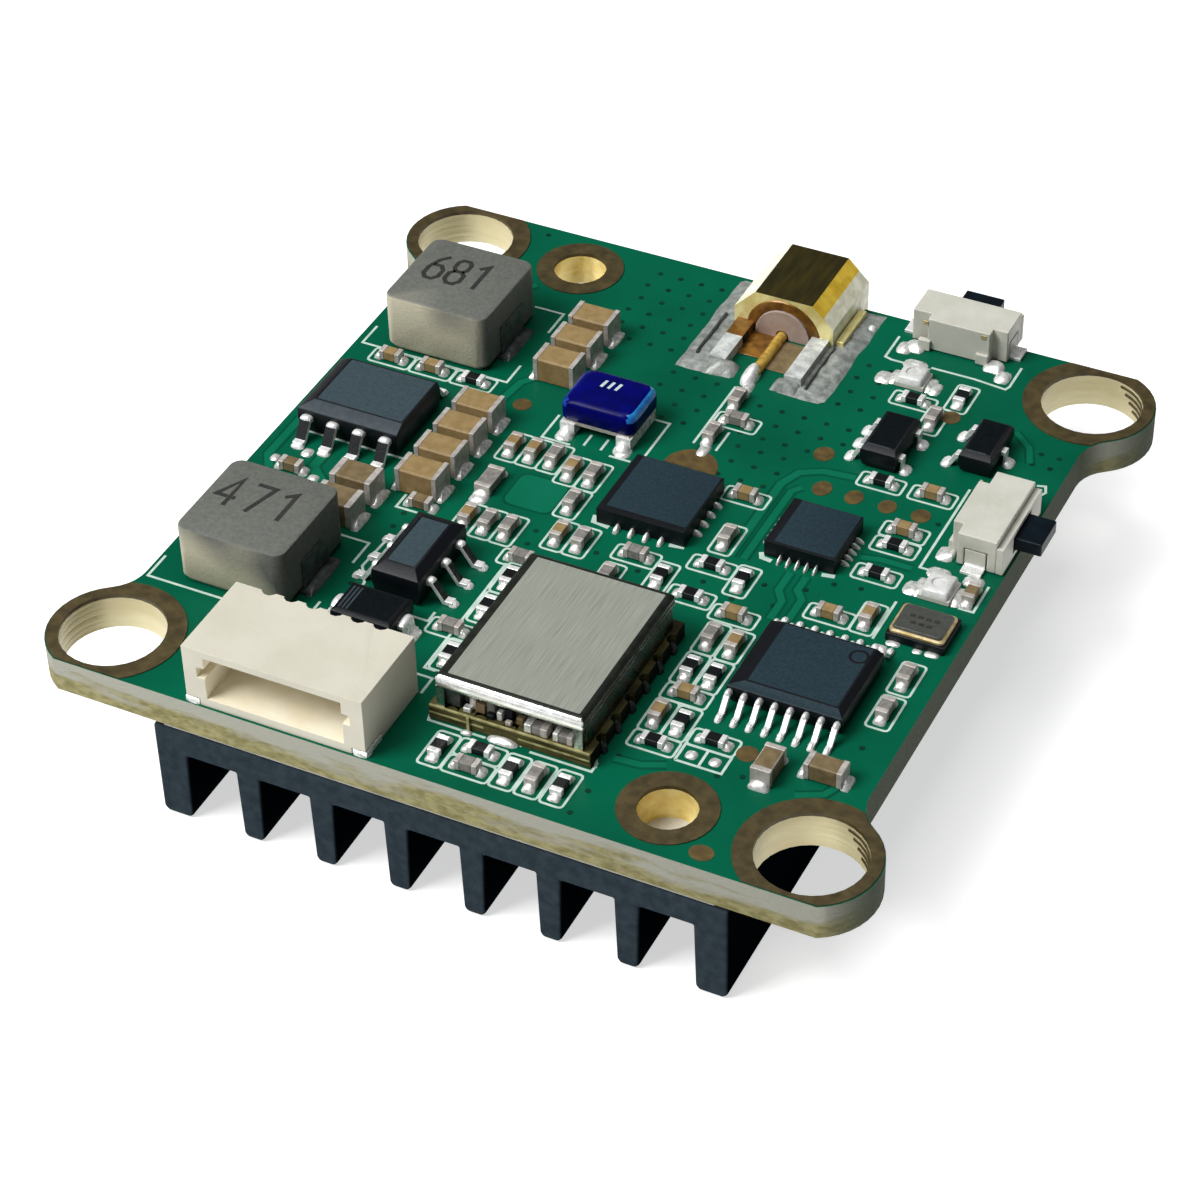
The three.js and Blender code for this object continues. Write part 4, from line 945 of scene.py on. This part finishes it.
def make_coax():
    finishes = (GOLD, GOLD_PALE, GOLD_YELLOW, GOLD_GREY, LEG, GOLD_AMBER)
    refined("coax_shell", finishes, 0.08, steps=3, choose=shell_reflection_finish, crease=30,
            cuts=((UP, 1.55), ((0, 1, 0), 12.9)))
    refined("coax_insulator", (DIELECTRIC,), 0.03)
    refined("coax_center_contact", (GOLD_PIN,), 0.02)
    x0, x1, _, _, _, _ = span("coax_shell")
    cx = (x0 + x1) / 2
    ring = bmesh.new()
    turned(ring, ((1.34, -0.05), (1.74, -0.05), (1.8, 0.02), (1.34, 0.02)), cx, 14.2, 0.15, "y", 36)
    everything = ring.verts[:] + ring.edges[:] + ring.faces[:]
    bmesh.ops.bisect_plane(ring, geom=everything, plane_co=(0, 0, 0.02), plane_no=(0, 0, -1),
                           clear_outer=True)
    piece("coax_front_ring", ring, (GOLD_AMBER,), crease=40)
    spread = bmesh.new()
    heap(spread, x0 - 1.15, x0 + 0.75, 10.4, 17.5, 0.22, 3.0)
    heap(spread, x1 - 1.0, x1 + 1.2, 10.4, 17.5, 0.22, 11.0)
    heap(spread, x0 + 0.2, x0 + 1.5, 10.4, 11.4, 0.4, 7.0, 0.15)
    heap(spread, x1 - 1.4, x1 - 0.1, 10.4, 11.4, 0.4, 9.0, 0.15)
    soldered("coax_solder", spread, DULL_SOLDER)
    bars = bmesh.new()
    # The thin bar of black mould is painted shade for a dark gap, not a part.
    for measures in (
        (3.62, 3.98, 14.4, 17.1, 0.1, 0.38, 0), (3.62, 3.72, 10.9, 14.2, 0.1, 0.27, 1),
        (x0 - 0.62, x0 - 0.5, 11.4, 14.6, 0.1, 0.27, 1), (-0.23, -0.15, 12.95, 13.5, 0.1, 0.44, 2),
        (-0.2, 0.95, 12.3, 14.15, 0.0, 0.06, 3), (1.35, 2.5, 11.7, 13.9, 0.0, 0.06, 4),
    ):
        box(bars, *measures)
    finishes = (GOLD_PALE, TERMINAL, MOULD, GOLD_AMBER, BROWN)
    piece("coax_side_bars", bars, finishes, soft=0.04)
    tip = bmesh.new()
    blob(tip, cx - 0.1, 10.85, 0.75, 1.4, 0.58, (0.08, 0.3), square=2.5)
    blob(tip, 4.54, 16.36, 0.4, 0.5, 0.2)
    soldered("coax_pin_solder", tip, TIN)


FOOT_TOP = 0.25


def above_foot(face):
    return 1 if face.calc_center_median().z > FOOT_TOP else 0


def make_switch(prefix, button):
    refined(prefix + "_housing", (CREAM,), 0.06, steps=3)
    refined(prefix + "_frame", (CREAM,), 0.04)
    refined(prefix + "_dome", (TIN,), 0.0)
    for side in ("left", "right"):
        refined(f"{prefix}_terminal_{side}", (TIN, CREAM), 0.02, choose=above_foot,
                cuts=((UP, FOOT_TOP),))
    refined(prefix + "_plunger", (PLUNGER,), 0.07, steps=3, body=button)


def make_switch_feet():
    """The small feet under the back of each switch, with their solder."""
    for prefix, turn in (("rear_switch", 0.0), ("right_switch", -math.pi / 2)):
        x0, _, y0, _, _, _ = span(prefix + "_housing")
        cx, cy = middle(prefix + "_housing")
        bm = bmesh.new()
        for x in (-1.45, 1.25):
            box(bm, x - 0.28, x + 0.28, -0.16, 0.1, 0.04, 0.55)
            box(bm, x - 0.12, x + 0.12, -0.03, 0.1, 1.3, 1.52, 1)
        for x in (-1.85, 1.85):
            blob(bm, x, -0.12, 0.95, 0.8, 0.26, (0, 0.25), 2, square=5.0)
        back = (x0, cy) if turn else (cx, y0)
        finishes = (CREAM, BRASS, SOLDER)
        piece(prefix + "_feet", bm, finishes, at=back, turn=turn, soft=0.03)


# ------------------------------------------------------------------ module, filter, crystal, lights

MODULE_PITCH = 1.27
INNER_PARTS = (
    # behind the front of the module: x, how far behind it, width, depth, height, finish
    (0.35, 0.12, 0.34, 0.3, 0.22, 2), (0.5, 0.38, 0.3, 0.25, 0.62, 4), (0.85, 0.3, 0.42, 0.3, 0.48, 5),
    (1.25, 0.4, 0.36, 0.25, 0.7, 1), (1.35, 0.12, 0.3, 0.24, 0.25, 3), (1.72, 0.22, 0.24, 0.26, 0.42, 2),
    (2.05, 0.34, 0.34, 0.3, 0.56, 3), (2.15, 0.08, 0.26, 0.2, 0.2, 4), (2.55, 0.3, 0.3, 0.3, 0.36, 5),
)


def make_module():
    x0, x1, y0, y1, _, top = span("module_board")
    cx, cy = middle("module_board")
    refined("module_board", (OLIVE,), 0.02)
    pads = bmesh.new()
    for i in range(6):
        for side, edge in ((-1, x0), (1, x1)):
            y = cy + (i - 2.5) * MODULE_PITCH
            blob(pads, edge + side * 0.02, y, 0.3, 0.4, 0.5, (-side * 0.1, 0))
    # The joints on the module's edges are dark: painted shade.
    soldered("module_pads", pads, SHADED_TIN)
    front = bmesh.new()
    for i in range(5):
        x = cx + (i - 2) * MODULE_PITCH
        box(front, x - 0.3, x + 0.3, y0 + 0.01, y0 + 0.4, 0.03, top)
    for z, (a, b) in ((top - 0.07, (x0, x1)), (0.3, (x0, 1.2)), (0.3, (2.6, x1))):
        box(front, a + 0.04, b - 0.04, y0 - 0.02, y0 + 0.06, z, z + 0.09, 1)
    box(front, 0.45, 0.57, y0 - 0.1, y0, 0.02, top, 1)
    piece("module_front_edge", front, (OLIVE, OLIVE_EDGE), soft=0.01)
    joints = bmesh.new()
    blob(joints, 2.0, y0 - 0.05, 1.3, 0.5, 0.2, (0, 0.1), square=4.0)
    blob(joints, 0.5, y0 - 0.2, 0.5, 0.3, 0.12)
    soldered("module_front_solder", joints, SOLDER)
    make_shield()
    make_inner_parts()
    refined("module_chip", (MOULD,), 0.04)


def make_shield():
    """The lid of the module: a rounded top on legs, with windows between them."""
    *bounds, low, high = span("module_shield")
    x0, x1, y0, y1 = bounds
    window_top, radius = low + 1.02, 0.25
    levels = [(window_top, 0.0), (high - 0.4, 0.0), (high - 0.36, 0.02)]
    for i in range(7):
        angle = math.radians(90 * i / 6)
        levels.append((high - radius + radius * math.sin(angle), radius * (1 - math.cos(angle))))
    rings = [drawn_in(bounds, inset, z, 0.1) for z, inset in levels]
    flat = x0 + radius + 0.2, x1 - radius - 0.04, y0 + radius + 0.06, y1 - radius - 0.05
    rings.append(drawn_in(flat, 0, high, 0.05))
    shield = bmesh.new()
    loft(shield, rings, 0, 1)
    shield.normal_update()
    # Painted reflections: the rounded bends and the edge of the top go dark, and the bend along the front
    # takes bright tin as a painted highlight.
    for face in shield.faces:
        _, y, z = face.normal
        if len(face.verts) == 4 and z > 0.15 and (y > -0.3 or z > 0.9):
            face.material_index = 2
        elif y < -0.5 and face.calc_center_median().z > high - 0.35:
            face.material_index = 3
    sill = window_top + 0.02
    for a, b in ((x0, x0 + 0.2), (x1 - 0.2, x1)):
        box(shield, a, b, y0 + 0.3, y1 - 0.3, low, sill)
    box(shield, x0 + 0.3, x1 - 0.3, y1 - 0.2, y1, low, sill)
    for a, b in ((x0 + 0.05, x0 + 0.4), (x1 - 0.4, x1 - 0.05)):
        box(shield, a, b, y0, y0 + 0.2, low, sill)
    finishes = (NICKEL, NICKEL_TOP, NICKEL_BEND_REFLECTION, TIN)
    piece("module_shield_look", shield, finishes, ("module_shield",), crease=40)


def make_inner_parts():
    """What shows through the front window of the module's lid."""
    x0, x1, y0, _, low, _ = span("module_shield")
    inside = bmesh.new()
    box(inside, x0 + 0.1, x0 + 0.95, y0 + 0.25, y0 + 0.9, low, low + 0.98, 0)
    for x, wide in ((3.35, 0.5), (4.5, 0.42)):
        box(inside, x - wide, x - 0.18, y0 + 0.06, y0 + 0.6, low, low + 0.42, 2)
        box(inside, x - 0.19, x + 0.19, y0 + 0.09, y0 + 0.57, low, low + 0.38, 1)
        box(inside, x + 0.18, x + wide, y0 + 0.06, y0 + 0.6, low, low + 0.42, 4)
    for x, behind, wide, deep, tall, finish in INNER_PARTS:
        y = y0 + behind
        box(inside, x - wide / 2, x + wide / 2, y, y + deep, low, low + tall, finish)
    box(inside, x0 + 0.25, x1 - 0.25, y0 + 0.68, y0 + 0.76, low, low + 1.0, 1)
    finishes = (TERMINAL, GREY_PART, SOLDER, MOULD, CAP_END, BROWN)
    piece("module_inner_parts", inside, finishes, soft=0.05)


def make_blue_filter():
    x0, x1, y0, y1, _, top = span("blue_filter")
    y0, y1 = y0 + 0.25, y1 - 0.05
    rings = []
    for z, inset in ((0.64, 0.1), (0.74, 0.0), (top - 0.35, 0.0), (top - 0.15, 0.08), (top - 0.04, 0.22),
                     (top, 0.42)):
        deep = inset * 0.6
        outline = round_rectangle(x0 + inset, x1 - inset, y0 + deep, y1 - deep, 0.42, 5)
        rings.append(level(outline, z))
    bm = bmesh.new()
    loft(bm, rings)
    bm.normal_update()
    # Painted highlights: the upper bevels that look left turn lighter blue, and those that look right turn
    # cyan.
    for face in bm.faces:
        if abs(face.normal.x) > 0.4 and face.normal.z > 0.05:
            face.material_index = 1 if face.normal.x < 0 else 4
    box(bm, x0 + 0.2, x1 - 0.2, y0 + 0.02, y1 - 0.1, 0.5, 0.66, 2)
    for x in (x0 + 0.42, x1 - 0.42):
        box(bm, x - 0.34, x + 0.34, y0 - 0.12, y1 - 0.3, 0.02, 0.58, 3)
        blob(bm, x, y0 - 0.3, 0.75, 0.6, 0.4, (0, 0.15), 3)
    finishes = (BLUE, BLUE_HIGHLIGHT, CAP_END, TIN, CYAN_HIGHLIGHT)
    piece("blue_filter_look", bm, finishes, ("blue_filter",))
    mark = bmesh.new()
    for i in range(3):
        x = (x0 + x1) / 2 - 0.5 + i * 0.34
        ribbon(mark, ((x, y1 - 1.15), (x + 0.08, y1 - 0.65)), 0.14, top - 0.01, top + 0.004)
    printed("blue_filter_mark", mark, SILK)


def make_crystal():
    refined("crystal_base", (MOULD,), 0.04)
    *bounds, low, high = span("crystal_lid")
    cx, cy = middle("crystal_lid")
    bm = bmesh.new()
    rim = [drawn_in(bounds, 0, z, 0.22, 4) for z in (low, low + 0.12)]
    loft(bm, [*rim, drawn_in(bounds, 0.1, low + 0.16, 0.18, 4)], 1)
    loft(bm, [drawn_in(bounds, 0.1, low + 0.15, 0.18, 4), drawn_in(bounds, 0.16, high, 0.15, 4)], 0)
    piece("crystal_lid_look", bm, (CAN_LID, BRASS), ("crystal_lid",), soft=0.02)
    marks = bmesh.new()
    for i in range(7):
        row, place = divmod(i, 4)
        x, y = cx - 0.62 + place * 0.34 + row * 0.17, cy + 0.12 - row * 0.4
        ribbon(marks, ((x, y), (x + 0.24, y)), 0.17, high - 0.01, high + 0.003)
    printed("crystal_lid_marks", marks, INK)


def make_lights():
    for node in ("led_rear", "led_right"):
        x0, x1, y0, y1, _, top = span(node)
        cx, cy = middle(node)
        bm = bmesh.new()
        box(bm, x0 + 0.12, x1 - 0.12, y0, y1, 0.03, 0.22, 1)
        lens = x0 + 0.2, x1 - 0.2, y0, y1
        levels = (0, 0.2, 0.12), (0.04, top - 0.06, 0.12), (0.12, top, 0.1)
        rings = [drawn_in(lens, inset, z, radius) for inset, z, radius in levels]
        for r, z in ((0.34, top), (0.3, top - 0.06)):
            rings.append(drawn_in((cx, cx, cy, cy), -r, z, r * 0.99))
        loft(bm, rings)
        for side, x in ((-1, x0), (1, x1)):
            lean = (-side * 0.1, 0)
            blob(bm, x + side * 0.02, cy, 0.5, (y1 - y0) * 0.9, 0.16, lean, 2, square=5.0)
        piece(node + "_look", bm, (WHITE_LENS, CREAM, SOLDER), (node,), crease=50)


# ------------------------------------------------------------------ stage, light, camera

FLOOR_REACH = 3.0
FLOOR_LOW = -0.02 * MM


def make_stage():
    mesh = bpy.data.meshes.new("floor")
    edge = corners(-FLOOR_REACH, FLOOR_REACH, -FLOOR_REACH, FLOOR_REACH)
    mesh.from_pydata(level(edge, FLOOR_LOW), [], [(0, 1, 2, 3)])
    mesh.materials.append(FLOOR.material)
    floor = bpy.data.objects.new("floor", mesh)
    scene.collection.objects.link(floor)


def add_lamp(name, place, power, size):
    """A square soft box that faces the middle of the board; the place is in metres from it."""
    lamp = bpy.data.lights.new(name, "AREA")
    lamp.shape = "SQUARE"
    lamp.energy = power
    lamp.size = size
    thing = bpy.data.objects.new(name, lamp)
    thing.location = hole_centre + Vector(place)
    thing.rotation_euler = (-Vector(place)).to_track_quat("-Z", "Y").to_euler()
    scene.collection.objects.link(thing)


def make_lights_and_world():
    add_lamp("key", (-0.31, -0.27, 0.48), 4.9, 0.32)
    add_lamp("overhead", (-0.08, 0.02, 0.55), 1.4, 0.35)
    world = bpy.data.worlds.new("studio")
    world.use_nodes = True
    background = world.node_tree.nodes["Background"]
    background.inputs["Color"].default_value = rgb("#f3f6fa", 1.0)
    background.inputs["Strength"].default_value = 0.14
    scene.world = world


CAMERA_PLACE = (49.8, -100.1, 89.8)
CAMERA_AIM = (1.70, -5.38, 0.0)
CAMERA_ROLL = -1.47
FOCAL_LENGTH = 103.3


def make_camera():
    camera = bpy.data.cameras.new("camera")
    camera.lens = FOCAL_LENGTH
    camera.sensor_width = 36.0
    camera.clip_start = 0.005
    camera.clip_end = 20.0
    thing = bpy.data.objects.new("camera", camera)
    place, aim = to_frame @ Vector(CAMERA_PLACE), to_frame @ Vector(CAMERA_AIM)
    roll = Quaternion((0, 0, 1), math.radians(CAMERA_ROLL))
    thing.location = place
    thing.rotation_mode = "QUATERNION"
    thing.rotation_quaternion = (aim - place).to_track_quat("-Z", "Y") @ roll
    scene.collection.objects.link(thing)
    scene.camera = thing


make_camera()
make_stage()
make_lights_and_world()
make_board()
make_copper()
make_ink()
make_small_parts()
make_large_capacitors()
make_chips()
make_inductor("inductor_front", "471", 0.95, 1.3)
make_inductor("inductor_rear", "681", 0.8, 1.05)
make_connector()
make_coax()
make_switch("rear_switch", "rear_button")
make_switch("right_switch", "right_button")
make_switch_feet()
make_module()
make_blue_filter()
make_crystal()
make_lights()
scene.view_settings.view_transform = "Standard"
